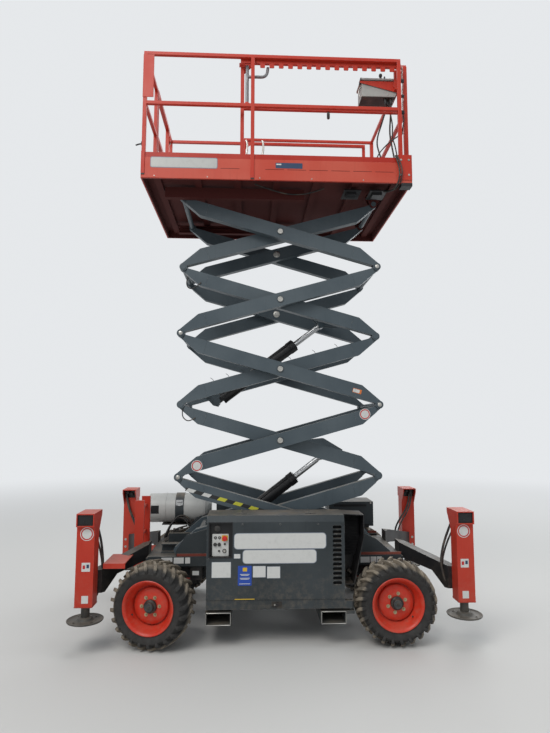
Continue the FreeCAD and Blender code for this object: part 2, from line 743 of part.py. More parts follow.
def chassis_frame():
    pieces = [chassis_beam(side, word) for side, word in SIDES]
    across = (-s.beam_inner_y, s.beam_inner_y)
    for end, word in ((-1, "steered"), (1, "fixed")):
        pieces.append(box("end_beam_" + word, mirrored(end, beam_end_x - s.end_beam_width, beam_end_x),
                          across, (s.beam_bottom_z, s.beam_top_z)))
    for word, middle in (("a", s.pocket_near_x), ("b", as_size(0)), ("c", s.pocket_far_x)):
        pieces.append(box("cross_beam_" + word, around(middle, s.end_beam_width), across,
                          (s.beam_bottom_z, s.beam_bottom_z + s.end_beam_width)))
    for word, middle in (("a", s.pocket_near_x), ("b", s.pocket_far_x)):
        pieces += fork_pocket(word, middle)
    for side, name in SIDES:
        pieces += tray_bracket(side, name)
    node(group("chassis_parts", pieces), "chassis_frame")


def scissor_trough():
    """Side plates beside the lowest arms, the lower track and the fixed lugs with their pins."""
    plates = []
    for side, word in SIDES:
        top = s.trough_top_z
        left = slide_pin_x
        right = fixed_pin_x + 62
        plate = [(left, s.beam_ledge_z + 20), (left, s.beam_top_z + 64), (left + 87, top - 52),
                 (left + 262, top), (right - 412, top), (right - 242, top - 41), (right - 125, top - 94),
                 (right, s.base_pin_z + 6), (right, s.beam_ledge_z + 20)]
        span = mirrored(side, s.beam_outer_y, s.beam_outer_y + s.trough_thickness)
        plates.append(sweep("trough_" + word, plate, "front", *span))
    node(group("trough_plates_group", plates), "trough_plates")
    pieces = []
    for side, word in SIDES:
        room = s.roller_radius + s.track_play
        roller_inner = s.inner_arm_y - s.arm_width / 2 - s.clearance - s.roller_width
        web = mirrored(side, roller_inner - s.track_gap - s.track_wall, roller_inner - s.track_gap)
        flange = mirrored(side, roller_inner - s.track_gap - s.track_wall, roller_inner + s.roller_width)
        ends = (slide_pin_x - 160, s.track_end_x)
        low = s.base_pin_z - room
        high = s.base_pin_z + room
        channel = [box("track_web_" + word, ends, web, (s.beam_top_z, high + s.track_wall)),
                   box("track_foot_" + word, ends, flange, (s.beam_top_z, low)),
                   box("track_lid_" + word, ends, flange, (high, high + s.track_wall))]
        pieces.append(fuse("track_" + word, channel))
        span = around(side * s.outer_arm_y, s.tongue_width)
        lug = [(fixed_pin_x - s.nose_radius, s.beam_top_z), (fixed_pin_x + s.nose_radius, s.beam_top_z),
               (fixed_pin_x + s.nose_radius, s.base_pin_z), (fixed_pin_x - s.nose_radius, s.base_pin_z)]
        pin = around(side * s.outer_arm_y, s.arm_width + 2 * s.head_thickness)
        lugs = [sweep("lug_" + word, lug, "front", *span),
                rod("lug_round_" + word, "y", s.nose_radius, *span, x=fixed_pin_x, z=s.base_pin_z),
                rod("lug_pin_" + word, "y", s.joint_radius, *pin, x=fixed_pin_x, z=s.base_pin_z)]
        pieces.append(fuse("base_lug_" + word, lugs))
    node(group("base_fittings_group", pieces), "base_tracks_and_lugs")


def axles():
    half = s.axle_height / 2
    for word, middle in (("steer", steer_axle_x), ("drive", drive_axle_x)):
        wide = around(middle, s.axle_width)
        pieces = [box(word + "_beam", wide, (-s.axle_end_y, s.axle_end_y), (s.axle_z - half, s.axle_z + half))]
        for side, name in SIDES:
            foot = mirrored(side, s.beam_inner_y + 20, s.beam_waist_y - 20)
            pieces.append(box(word + "_foot_" + name, wide, foot, (s.axle_z, s.beam_bottom_z)))
            if word == "steer":
                for level, low in (("top", s.yoke_gap / 2), ("low", -s.yoke_gap / 2 - s.yoke_arm)):
                    heights = (s.axle_z + low, s.axle_z + low + s.yoke_arm)
                    arm_y = mirrored(side, s.axle_end_y - 30, s.kingpin_y)
                    pieces.append(box("yoke_" + level + name, around(middle, 2 * s.yoke_radius), arm_y, heights))
                    pieces.append(rod("yoke_round_" + level + name, "z", s.yoke_radius, *heights,
                                      x=middle, y=side * s.kingpin_y))
                riser = mirrored(side, s.axle_end_y - 60, s.axle_end_y)
                reach = s.yoke_gap / 2 + s.yoke_arm
                pieces.append(box("yoke_back_" + name, around(middle, 2 * s.yoke_radius), riser,
                                  (s.axle_z - reach, s.axle_z + reach)))
                pieces.append(rod("kingpin_" + name, "z", s.kingpin_radius, s.axle_z - reach, s.axle_z + reach,
                                  x=middle, y=side * s.kingpin_y))
            else:
                drum = mirrored(side, s.axle_end_y, s.wheel_y - s.hub_radius)
                pieces.append(rod("drive_drum_" + name, "y", s.knuckle_radius, *drum, x=middle, z=s.axle_z))
                tip = mirrored(side, s.axle_end_y, s.wheel_y + s.spindle_end)
                pieces.append(rod("drive_spindle_" + name, "y", s.spindle_radius, *tip, x=middle, z=s.axle_z))
        node(fuse(word + "_axle_body", pieces), word + "_axle")


def knuckles():
    """Steered hub housings, drawn about the steering axis with the wheel towards +Y."""
    for side, word in SIDES:
        tag = "knuckle_" + word
        half = s.yoke_gap / 2 - s.clearance / 3
        inner = s.wheel_y - s.kingpin_y
        pieces = [rod(tag + "_core", "z", s.yoke_radius, -half, half),
                  rod(tag + "_drum", "y", s.knuckle_radius, 0, inner - s.hub_radius),
                  rod(tag + "_spindle", "y", s.spindle_radius, 0, inner + s.spindle_end)]
        bore = rod(tag + "_bore", "z", s.kingpin_radius + s.pin_play, -2 * half, 2 * half)
        body = cut(tag + "_body", fuse(tag + "_whole", pieces), [bore])
        turn = s.steer_angle.number + (180 if side < 0 else 0)
        place(body, steer_axle_x, side * s.kingpin_y, s.axle_z, Rotation(Vector(0, 0, 1), turn))
        node(body, tag)


# Wheels, drawn about the Y axis with the outer side towards +Y.
def ring_outline(name, radius, y):
    """Many-sided outline about the Y axis."""
    ring = add("Part::RegularPolygon", name)
    ring.Polygon = int(s.tyre_sides.number)
    ring.Circumradius = number_of(radius)
    bind(ring, "Circumradius", radius)
    return place(ring, 0, y, 0, TURNS["y"])


def tyre_lug(name, turn, side):
    """One leaning bar of the tread, from near the middle out over the shoulder."""
    reach = s.wheel_width / 2 - 8
    height = s.wheel_radius - 2
    bar = box(name + "_bar", around(as_size(0), s.lug_width), mirrored(side, 6, reach),
              (height - s.lug_root, height))
    leaning = Rotation(Vector(0, 0, 1), s.lug_lean.number * side)
    return place(group(name, [bar]), rotation=Rotation(Vector(0, 1, 0), turn) * leaning)


def tyre():
    """Flat-sided carcass with slanted shoulders and two staggered rows of leaning lugs."""
    half = s.wheel_width / 2
    tread = s.wheel_radius - s.lug_height
    wall = s.wheel_radius - s.shoulder
    carcass = add("Part::Loft", "tyre_carcass")
    carcass.Sections = [ring_outline("tyre_ring_%d" % index, radius, y) for index, (radius, y) in enumerate(
        ((wall, -half), (tread, s.shoulder - half), (tread, half - s.shoulder), (wall, half)))]
    carcass.Solid = True
    carcass.Ruled = True
    count = int(s.lug_pairs.number)
    lugs = []
    for side, word in SIDES:
        for index in range(count):
            turn = 360.0 * (index + (0.5 if side > 0 else 0.0)) / count
            lugs.append(tyre_lug("lug_%s_%d" % (word, index), turn, side))
    bore = add("Part::Prism", "tyre_bore")
    bore.Polygon = int(s.tyre_sides.number)
    across = s.bead_radius / math.cos(math.pi / s.tyre_sides.number)
    bore.Circumradius = across.number
    bind(bore, "Circumradius", across)
    depth = s.wheel_width + 2
    bore.Height = depth.number
    bind(bore, "Height", depth)
    place(bore, 0, -half - 1, 0, TURNS["y"])
    return cut("tyre_shape", fuse("tyre_whole", [carcass] + lugs), [bore])


def rim():
    """Rim with its slanted dish, its disc and its hub."""
    half = s.wheel_width / 2 - 26
    seat = s.bead_radius - s.bead_play
    inner = seat - s.rim_wall
    disc = s.disc_offset
    face = disc + s.disc_thickness
    corners = [(inner, -half), (seat, -half), (seat, half), (inner, half), (inner, face + s.dish_step),
               (inner - s.dish_step / 2, face), (s.hub_radius, face), (s.hub_radius, disc + 34),
               (s.spindle_radius + s.pin_play, disc + 34), (s.spindle_radius + s.pin_play, disc - 40),
               (s.hub_radius, disc - 40), (s.hub_radius, disc), (inner - s.dish_step / 2 - 6, disc),
               (inner, disc + s.dish_step - 6)]
    return turned("rim_shape", corners)


def wheels():
    shapes = {"tyre": tyre(), "rim": rim()}
    for end, axle_x in (("steer", steer_axle_x), ("drive", drive_axle_x)):
        for side, word in SIDES:
            turn = s.steer_angle.number if end == "steer" else 0.0
            pivot_y = number_of(s.kingpin_y) * side
            reach = (s.wheel_y.number - s.kingpin_y.number) * side
            angle = math.radians(turn)
            spot_x = axle_x.number - reach * math.sin(angle)
            spot_y = pivot_y + reach * math.cos(angle)
            rotation = Rotation(Vector(0, 0, 1), turn + (180 if side < 0 else 0))
            for kind, shape in shapes.items():
                label = "%s_%s_%s" % (kind, end, word)
                piece = group(label + "_set", [shape])
                place(piece, spot_x, spot_y, s.axle_z, rotation)
                node(piece, label)


# Outriggers, one at each corner.
CORNERS = ((-1, -1, "near_left"), (-1, 1, "far_left"), (1, -1, "near_right"), (1, 1, "far_right"))


def outrigger_case(end, side, word):
    """Square tube for the leg below a flared cap, which is open inwards and outwards."""
    wall = s.case_wall
    inner = s.case_y - s.case_depth / 2
    outer = s.case_y + s.case_depth / 2
    wide = around(end * case_x, s.case_width)
    hole_x = around(end * case_x, s.case_width - 2 * wall)
    cap = [(side * (inner - s.cap_flare), s.cap_top_z), (side * (outer + s.cap_lip), s.cap_top_z),
           (side * (outer + s.cap_lip), s.case_top_z), (side * inner, s.case_top_z),
           (side * inner, s.case_top_z - s.cap_gusset), (side * (inner - s.cap_flare), s.cap_top_z - s.cap_edge)]
    whole = fuse("case_whole_" + word,
                 [box("case_tube_" + word, wide, mirrored(side, inner, outer),
                      (s.case_bottom_z, s.case_top_z + wall)),
                  sweep("case_cap_" + word, cap, "side", *wide)])
    return cut("case_" + word, whole,
               [box("case_bore_" + word, hole_x, around(side * s.case_y, s.case_depth - 2 * wall),
                    (s.case_bottom_z - 1, s.case_top_z)),
                box("case_mouth_" + word, hole_x, mirrored(side, inner, outer + s.cap_lip + 1),
                    (s.case_top_z + wall, s.cap_top_z - wall)),
                box("case_flare_" + word, hole_x, mirrored(side, inner - s.cap_flare - 1, inner),
                    (s.case_top_z - s.cap_gusset - 1, s.cap_top_z - wall))])


def outriggers():
    cases = []
    arms = []
    for end, side, word in CORNERS:
        cases.append(outrigger_case(end, side, word))
        room = s.case_wall + s.leg_room
        leg = fuse("leg_" + word,
                   [box("leg_tube_" + word, around(end * case_x, s.case_width - 2 * room),
                        around(side * s.case_y, s.case_depth - 2 * room),
                        (s.pad_z + s.pad_thickness + s.ball_radius, s.leg_top_z)),
                    rod("leg_ball_" + word, "z", s.ball_radius, s.pad_z + s.pad_thickness / 2,
                        s.pad_z + s.pad_thickness + s.ball_radius + 4, x=end * case_x, y=side * s.case_y),
                    rod("leg_pad_" + word, "z", s.pad_radius, s.pad_z, s.pad_z + s.pad_thickness,
                        x=end * case_x, y=side * s.case_y)])
        node(leg, "outrigger_leg_" + word)
        arms.append(outrigger_arm(end, side, word))
    node(group("outrigger_cases_group", cases), "outrigger_cases")
    node(group("outrigger_arms_group", arms), "outrigger_arms")
    return arms[0]


def outrigger_arm(end, side, word):
    """Fish-bellied beam from the chassis to an outrigger's case, drawn along +X and then set."""
    start = Vector(beam_end_x.number, s.strut_start_y.number, 0)
    finish = Vector(case_x.number, s.case_y.number, 0)
    run = finish - start
    length = run.Length
    heading = math.degrees(math.atan2(run.y * side, run.x * end))
    profile = [(-60, s.beam_top_z - 30), (-60, s.strut_top_z), (40, s.strut_top_z),
               (length * 0.7, s.strut_end_z + 40), (length, s.strut_end_z), (length, s.strut_foot_z),
               (length * 0.78, s.strut_foot_z), (length * 0.6, s.strut_end_z - 45), (40, s.beam_top_z - 30)]
    beam = sweep("strut_" + word, profile, "front", -s.strut_width / 2, s.strut_width / 2)
    holder = group("strut_set_" + word, [beam])
    place(holder, end * beam_end_x, side * s.strut_start_y, 0, Rotation(Vector(0, 0, 1), heading))
    inside = s.case_y - s.case_depth / 2
    beyond = box("strut_trim_" + word, mirrored(end, beam_end_x, case_x + 300),
                 mirrored(side, inside, inside + 300), (0, 1200))
    root = box("strut_root_" + word, mirrored(end, beam_end_x - 300, beam_end_x), mirrored(side, 0, 600),
               (0, 1200))
    tail = box("strut_tail_" + word, mirrored(end, case_x + s.case_width / 2, case_x + 400),
               mirrored(side, 0, 1200), (0, 1200))
    return cut("strut_cut_" + word, holder, [beyond, root, tail])


# Side trays on vertical hinges at their outer corner.
def tray_shell(tag, side, top):
    """Box of sheet with a slanted outer top edge and an inset skirt."""
    outer = side * s.tray_outer_y
    inner = side * s.tray_inner_y
    wall = s.tray_wall
    step = side * s.tray_inset
    run = side * s.tray_chamfer_run
    skirt = s.tray_bottom_z + s.tray_skirt
    corners = [(inner, s.tray_bottom_z), (outer - step, s.tray_bottom_z), (outer - step, skirt),
               (outer, skirt), (outer, top - s.tray_chamfer), (outer - run, top), (inner, top)]
    hollow = [(inner + side * wall, s.tray_bottom_z + wall), (outer - step - side * wall, s.tray_bottom_z + wall),
              (outer - step - side * wall, top - s.tray_chamfer - wall), (outer - run - step, top - wall),
              (inner + side * wall, top - wall)]
    shell = sweep(tag + "_shell", corners, "side", s.tray_left_x, s.tray_right_x)
    room = sweep(tag + "_room", hollow, "side", s.tray_left_x + wall, s.tray_right_x - wall)
    return shell, room


def tray_hinge(tag, side):
    """Lug on the tray's foot with the bore for the fixed pin."""
    spot_y = side * s.hinge_y
    heights = (s.tray_bottom_z, s.tray_bottom_z + 60)
    wide = around(spot_y, 2 * s.hinge_lug)
    lug = [box(tag + "_lug", (s.tray_right_x - s.tray_wall, s.hinge_x), wide, heights),
           rod(tag + "_lug_round", "z", s.hinge_lug, *heights, x=s.hinge_x, y=spot_y)]
    bore = rod(tag + "_lug_bore", "z", s.hinge_radius + s.pin_play, s.tray_bottom_z - 5,
               s.tray_bottom_z + 65, x=s.hinge_x, y=spot_y)
    return lug, bore


def louvre_slots():
    """Column of slots near the radiator's end of the near tray."""
    across = (s.slot_left_x, s.slot_left_x + s.slot_width)
    through = (-s.tray_outer_y - 1, -s.tray_outer_y + 3 * s.tray_wall)
    return [box("slot_%d" % index, across, through,
                (s.slot_low_z + s.slot_pitch * index, s.slot_low_z + s.slot_pitch * index + s.slot_height))
            for index in range(int(s.slot_count.number))]


def panel_recess():
    """Shallow pocket for the ground controls, and the latch's slot in the skirt."""
    wall = s.tray_wall
    right = s.panel_left_x + s.panel_width
    top = s.panel_low_z + s.panel_height
    floor = -s.tray_outer_y + s.panel_depth
    pocket = box("panel_pocket", (s.panel_left_x - wall, right + wall), (-s.tray_outer_y + s.tray_inset, floor + wall),
                 (s.panel_low_z - wall, top + wall / 2))
    front = [box("panel_hole", (s.panel_left_x, right), (-s.tray_outer_y - 1, floor), (s.panel_low_z, top)),
             box("latch_hole", around(s.latch_x, s.latch_width), (-s.tray_outer_y, -s.tray_outer_y + 3 * wall),
                 (s.latch_low_z, s.latch_low_z + s.latch_height))]
    return pocket, front


def side_trays():
    for side, word, top in ((-1, "near", s.near_tray_top_z), (1, "far", s.far_tray_top_z)):
        tag = word + "_tray"
        shell, room = tray_shell(tag, side, top)
        lug, bore = tray_hinge(tag, side)
        pieces = [cut(tag + "_hollow", shell, [room])] + lug
        holes = [bore]
        if side < 0:
            pocket, front = panel_recess()
            pieces.append(pocket)
            holes += front + louvre_slots()
        node(cut(tag + "_body", fuse(tag + "_whole", pieces), holes), word + "_tray_cover")
        middle = side * (s.tray_inner_y + s.tray_outer_y) / 2
        node(box(tag + "_engine", around(as_size(-40), s.engine_length), around(middle, s.engine_depth),
                 (s.tray_bottom_z + s.tray_wall, s.tray_bottom_z + s.tray_wall + s.engine_height)),
             "engine_block" if side < 0 else "hydraulic_tank")
    radiator_duct()
    end_box()


def radiator_duct():
    wall = s.tray_wall
    corners = [(s.tray_right_x, s.near_tray_top_z), (s.shroud_right_x, s.near_tray_top_z - 10),
               (s.shroud_right_x, s.shroud_knee_z), (s.shroud_bottom_x, s.shroud_bottom_z),
               (s.tray_right_x, s.shroud_bottom_z)]
    room = [(s.tray_right_x + wall, s.near_tray_top_z - wall), (s.shroud_right_x - wall, s.near_tray_top_z - 10 - wall),
            (s.shroud_right_x - wall, s.shroud_knee_z), (s.shroud_bottom_x - wall, s.shroud_bottom_z + wall),
            (s.tray_right_x + wall, s.shroud_bottom_z + wall)]
    shell = sweep("duct_shell", corners, "front", -s.shroud_outer_y, -s.shroud_inner_y)
    hollow = sweep("duct_room", room, "front", -s.shroud_outer_y - 1, -s.shroud_inner_y - wall)
    node(cut("duct_body", shell, [hollow]), "radiator_duct")


def end_box():
    whole = box("end_box_whole", (s.tray_right_x + s.clearance * 10, beam_end_x - s.end_box_margin),
                (s.tray_inner_y, s.tray_outer_y), (s.end_box_bottom_z, s.far_tray_top_z))
    foot = box("end_box_foot", around(fixed_pin_x - 60, s.riser_width), (s.beam_outer_y + s.trough_thickness, s.tray_inner_y + 30),
               (s.end_box_bottom_z - 60, s.end_box_bottom_z))
    node(fuse("end_box_body", [whole, foot]), "far_end_box")


def taper(name, wide, narrow, start, end):
    """Slanted ring of the gas tank's domed end."""
    solid = add("Part::Cone", name)
    for path, size in (("Radius1", wide), ("Radius2", narrow), ("Height", end - start)):
        setattr(solid, path, size.number)
        bind(solid, path, size)
    return place(solid, start, s.tank_y, s.tank_z, TURNS["x"])


def gas_tank():
    """Lying tank with a domed end and a collar with two hand holes, on its shelf."""
    collar_x = -beam_end_x - s.tank_beyond
    left = collar_x + s.collar_length
    right = collar_x + s.tank_length
    waist = s.tank_radius * s.dome_share
    dome = [taper("dome_wide", s.tank_radius, waist, right - s.tank_dome, right - s.tank_dome / 2),
            taper("dome_end", waist, s.tank_radius * s.dome_flat, right - s.tank_dome / 2, right)]
    body = rod("tank_body", "x", s.tank_radius, left, right - s.tank_dome, y=s.tank_y, z=s.tank_z)
    wall = s.tank_radius - 2
    ring = rod("collar_outside", "x", wall, collar_x, left + 2, y=s.tank_y, z=s.tank_z)
    middle = around(collar_x + s.collar_length / 2, s.collar_window)
    holes = [rod("collar_inside", "x", wall - s.tray_wall, collar_x - 1, left + 3, y=s.tank_y, z=s.tank_z),
             box("collar_windows", middle, around(s.tank_y, 3 * s.tank_radius), around(s.tank_z, s.collar_window))]
    node(fuse("tank_whole", [body, cut("tank_collar", ring, holes)] + dome), "gas_tank")
    shelf_top = s.tank_z - s.tank_radius
    foot = s.beam_outer_y + s.trough_thickness
    shelf = [box("shelf_plate", (left, right - s.tank_dome), (foot + s.tank_dome, s.tank_y + s.tank_radius / 2),
                 (shelf_top - s.shelf_thickness, shelf_top)),
             box("shelf_riser", (right - s.tank_dome - s.riser_width, right - s.tank_dome),
                 (foot, foot + s.tank_dome + 1), (shelf_top - 5 * s.shelf_thickness, shelf_top))]
    node(fuse("tank_shelf_whole", shelf), "tank_shelf")


def ladder():
    half = s.ladder_width / 2
    x = -beam_end_x - s.ladder_beyond
    back = x + s.ladder_depth / 2
    pieces = []
    for side, word in SIDES:
        middle = s.ladder_y + side * (half - s.stile_thickness / 2)
        pieces.append(box("stile_" + word, around(x, s.ladder_depth), around(middle, s.stile_thickness),
                          (s.ladder_bottom_z, s.ladder_top_z)))
    pitch = (s.ladder_top_z - s.ladder_bottom_z) / (s.rung_count - 0.5)
    for index in range(int(s.rung_count.number)):
        height = s.ladder_bottom_z + s.ladder_depth / 2 + pitch * index
        pieces.append(rod("rung_%d" % index, "y", s.rung_radius, s.ladder_y - half + 5, s.ladder_y + half - 5,
                          x=x, z=height))
    for word, low in (("low", s.ladder_bottom_z), ("high", s.ladder_bottom_z + s.end_beam_width)):
        pieces.append(box("ladder_foot_" + word, (back - 5, -beam_end_x), around(s.ladder_y, 0.8 * s.ladder_width),
                          (low, low + s.end_beam_width / 2)))
    pieces.append(box("ladder_plate", (back - 8, back), around(s.ladder_y, s.ladder_width),
                      (s.ladder_bottom_z, s.beam_top_z)))
    return fuse("ladder_whole", pieces)


def side_step(strut):
    """Plate on the near left outrigger arm, cut to that arm's shape."""
    outer = -case_x + s.step_inside
    plate = box("step_plate", (outer, outer + s.step_length), (-s.step_outer_y, -s.beam_outer_y),
                (s.step_z, s.step_z + s.step_thickness))
    lip = box("step_lip", (outer, outer + s.step_length), (-s.step_outer_y, s.step_thickness - s.step_outer_y),
              (s.step_z - 4 * s.step_thickness, s.step_z + 1))
    return cut("step_cut", fuse("step_whole", [plate, lip]), [strut])


# Platform.
edge_z = s.base_pin_z + 5 * rise + s.deck_gap
floor_z = edge_z + s.floor_rise


def platform_deck():
    """Toe boards, floor with its tread plate, joists, and the fittings that ride on the top arms."""
    board = s.board_thickness
    top = edge_z + s.board_height
    inside_x = (board - deck_half_x, deck_half_x - board)
    inside_y = (board - s.deck_half_y, s.deck_half_y - board)
    under = floor_z - s.floor_thickness
    pieces = [box("board_" + word, (-deck_half_x, deck_half_x), mirrored(side, s.deck_half_y - board, s.deck_half_y),
                  (edge_z, top)) for side, word in SIDES]
    pieces += [box("board_left", (-deck_half_x, board - deck_half_x), inside_y, (edge_z, top)),
               box("sill_right", (deck_half_x - board, deck_half_x), inside_y, (edge_z, floor_z - 2)),
               box("floor", inside_x, inside_y, (under, floor_z)),
               box("tread", (inside_x[0] + s.tread_margin, s.roll_left_x - board),
                   (inside_y[0] + s.tread_margin, inside_y[1] - s.tread_margin),
                   (floor_z, floor_z + s.tread_plate))]
    for index in range(7):
        middle = (index - 3) * 0.3 * deck_half_x
        pieces.append(box("joist_%d" % index, around(middle, s.joist_width), inside_y,
                          (under - s.joist_height, under)))
    for side, word in SIDES:
        pieces.append(top_track(side, word, under - s.joist_height))
        pieces += top_cheeks(side, word, under)
    node(group("deck_parts", pieces), "platform_deck")


def top_track(side, word, ceiling):
    """Channel below the joists for a roller of the highest outer arm."""
    room = s.roller_radius + s.track_play
    pin_z = edge_z - s.deck_gap
    outer = s.outer_arm_y + s.arm_width / 2
    roller_end = outer + s.clearance + s.roller_width
    web = mirrored(side, roller_end + s.track_gap, roller_end + s.track_gap + s.track_wall)
    flange = mirrored(side, outer + s.clearance, roller_end + s.track_gap + s.track_wall)
    ends = (slide_pin_x - 160, s.track_end_x)
    return fuse("top_track_" + word,
                [box("top_web_" + word, ends, web, (pin_z - room - s.track_wall, ceiling)),
                 box("top_lid_" + word, ends, flange, (pin_z + room, pin_z + room + s.track_wall)),
                 box("top_foot_" + word, ends, flange, (pin_z - room - s.track_wall, pin_z - room))])


def top_cheeks(side, word, ceiling):
    """Two hanging plates that take the upper joint of the highest inner arm."""
    pin_z = edge_z - s.deck_gap
    cheeks = []
    for edge, sign in (("a", -1), ("b", 1)):
        tag = "top_cheek_" + edge + word
        span = around(side * (s.inner_arm_y + sign * (s.arm_width - s.cheek_thickness) / 2), s.cheek_thickness)
        plate = [(fixed_pin_x - 2 * s.nose_radius, ceiling), (fixed_pin_x - s.nose_radius, pin_z),
                 (fixed_pin_x + s.nose_radius, pin_z), (fixed_pin_x + 2 * s.nose_radius, ceiling)]
        whole = fuse(tag + "_whole", [sweep(tag + "_plate", plate, "front", *span),
                                      rod(tag + "_round", "y", s.nose_radius, *span, x=fixed_pin_x, z=pin_z)])
        hole = rod(tag + "_bore", "y", s.joint_radius + s.pin_play, span[0] - 1, span[1] + 1,
                   x=fixed_pin_x, z=pin_z)
        cheeks.append(cut(tag, whole, [hole]))
    return cheeks


def rail_run(name, x, y, z):
    """One straight rail of square tube between two values along one axis."""
    spans = [value if isinstance(value, tuple) else around(as_size(value), s.rail_size) for value in (x, y, z)]
    return box(name, *spans)


def platform_rails():
    half = s.rail_size / 2
    low = edge_z + s.board_height
    top = edge_z + s.rail_rise
    mid = edge_z + s.mid_rail_rise
    edge_x = deck_half_x - half
    edge_y = s.deck_half_y - s.board_thickness / 2
    pieces = []
    for side, word in SIDES:
        y = side * edge_y
        for level, height in (("top", top), ("mid", mid)):
            pieces.append(rail_run("rail_%s_%s" % (level, word), (-deck_half_x, deck_half_x - 50), y, height))
        for index, x in enumerate((-edge_x, s.post_x, deck_half_x - 50 - half)):
            pieces.append(rail_run("post_%d_%s" % (index, word), x, y, (low, top + half)))
    for index, y in enumerate((s.gate_near_y, s.gate_far_y)):
        pieces.append(rail_run("gate_post_%d" % index, -edge_x, y, (low, top + half)))
    for level, height in (("top", top), ("mid", mid)):
        pieces.append(rail_run("left_rail_near_" + level, -edge_x, (-edge_y, s.gate_near_y), height))
        pieces.append(rail_run("left_rail_far_" + level, -edge_x, (s.gate_far_y, edge_y), height))
    for word, low_z in gate_hinge_heights():
        y = s.gate_far_y - half - s.gate_play / 2
        x = -deck_half_x + s.rail_size + s.gate_hinge_out
        pieces += [rod("gate_pin_" + word, "z", s.gate_pin_radius, low_z - 12, low_z + s.gate_knuckle, x=x, y=y),
                   box("gate_bracket_" + word, (x - s.gate_hinge_out - 4, x + s.gate_pin_radius),
                       (y - s.gate_pin_radius, s.gate_far_y), (low_z - 12, low_z - 1))]
    pieces.append(box("corner_plate", (-deck_half_x, s.plate_width - deck_half_x),
                      (-edge_y - half - s.plate_thickness, -edge_y - half),
                      (edge_z + s.plate_rise, edge_z + s.plate_rise + s.plate_height)))
    start = s.post_x + 60
    pitch = (deck_half_x - 110 - start) / s.tooth_count
    for index in range(int(s.tooth_count.number)):
        middle = start + pitch * (index + 0.5)
        pieces.append(box("tooth_%d" % index, around(middle, s.tooth_size), around(-edge_y, 10),
                          (top - half - s.tooth_depth, top - half + 2)))
    node(fuse("rails_whole", pieces), "platform_rails")


def gate_hinge_heights():
    """Undersides of the two knuckles of the gate's hinge."""
    return ("low", edge_z + s.board_height + 90), ("high", edge_z + s.rail_rise - 140)


def gate():
    half = s.rail_size / 2
    edge_x = deck_half_x - half
    low = s.gate_near_y + half + s.gate_play
    high = s.gate_far_y - half - s.gate_play
    bottom = edge_z + s.board_height + 40
    top = edge_z + s.rail_rise
    mid = edge_z + s.mid_rail_rise
    pieces = [rail_run("gate_top", -edge_x, (low, high), top), rail_run("gate_mid", -edge_x, (low, high), mid),
              rail_run("gate_low", -edge_x, (low, high), bottom)]
    for word, y in (("near", low + half), ("far", high - half)):
        pieces.append(rail_run("gate_side_" + word, -edge_x, y, (bottom - half, top + half)))
    x = -deck_half_x + s.rail_size + s.gate_hinge_out
    y = s.gate_far_y - half - s.gate_play / 2
    bores = []
    for word, low_z in gate_hinge_heights():
        heights = (low_z, low_z + s.gate_knuckle - 5)
        pieces += [rod("knuckle_ring_" + word, "z", s.gate_ring_radius, *heights, x=x, y=y),
                   box("knuckle_strap_" + word, (x - s.gate_hinge_out - 2, x + s.gate_pin_radius), (high - 30, y),
                       heights)]
        bores.append(rod("knuckle_bore_" + word, "z", s.gate_pin_radius + s.pin_play, low_z - 1,
                         low_z + s.gate_knuckle, x=x, y=y))
    node(cut("gate_body", fuse("gate_whole", pieces), bores), "entry_gate")


def roll_out_deck():
    half = s.rail_size / 2
    low = floor_z + s.roll_gap
    high = low + s.roll_floor
    top = edge_z + s.rail_rise - s.rail_size - 8
    mid = edge_z + s.roll_mid_rise
    right = deck_half_x - half
    board = s.roll_board
    inside = s.roll_half_y - board
    along = (s.roll_left_x, deck_half_x)
    pieces = [box("roll_floor", along, (-s.roll_half_y, s.roll_half_y), (low, high)),
              box("roll_board_right", (deck_half_x - board, deck_half_x), (-inside, inside),
                  (high, edge_z + s.board_height))]
    for side, word in SIDES:
        pieces.append(box("roll_board_" + word, along, mirrored(side, inside, s.roll_half_y),
                          (high, edge_z + s.board_height - s.board_thickness)))
        skid = around(side * (s.roll_half_y - 2 * s.skid_width), s.skid_width)
        pieces.append(box("roll_skid_" + word, along, skid, (floor_z + s.skid_play, low)))
    node(group("roll_deck_parts", pieces), "roll_out_deck")
    rails = []
    bottom = edge_z + s.board_height
    edge_y = s.roll_half_y - half
    for side, word in SIDES:
        y = side * edge_y
        rails.append(rail_run("roll_mid_" + word, (s.roll_left_x, deck_half_x), y, mid))
        rails.append(rail_run("roll_top_" + word, (s.roll_left_x, deck_half_x), y, top))
        for index, x in enumerate((s.roll_left_x + half, right)):
            base = bottom - s.board_thickness if index == 0 else bottom
            rails.append(rail_run("roll_post_%d_%s" % (index, word), x, y, (base, top + half)))
    rails.append(rail_run("roll_end_mid", right, (-edge_y, edge_y), mid))
    rails.append(rail_run("roll_end_top", right, (-edge_y, edge_y), top))
    node(fuse("roll_rails_whole", rails), "roll_out_rails")


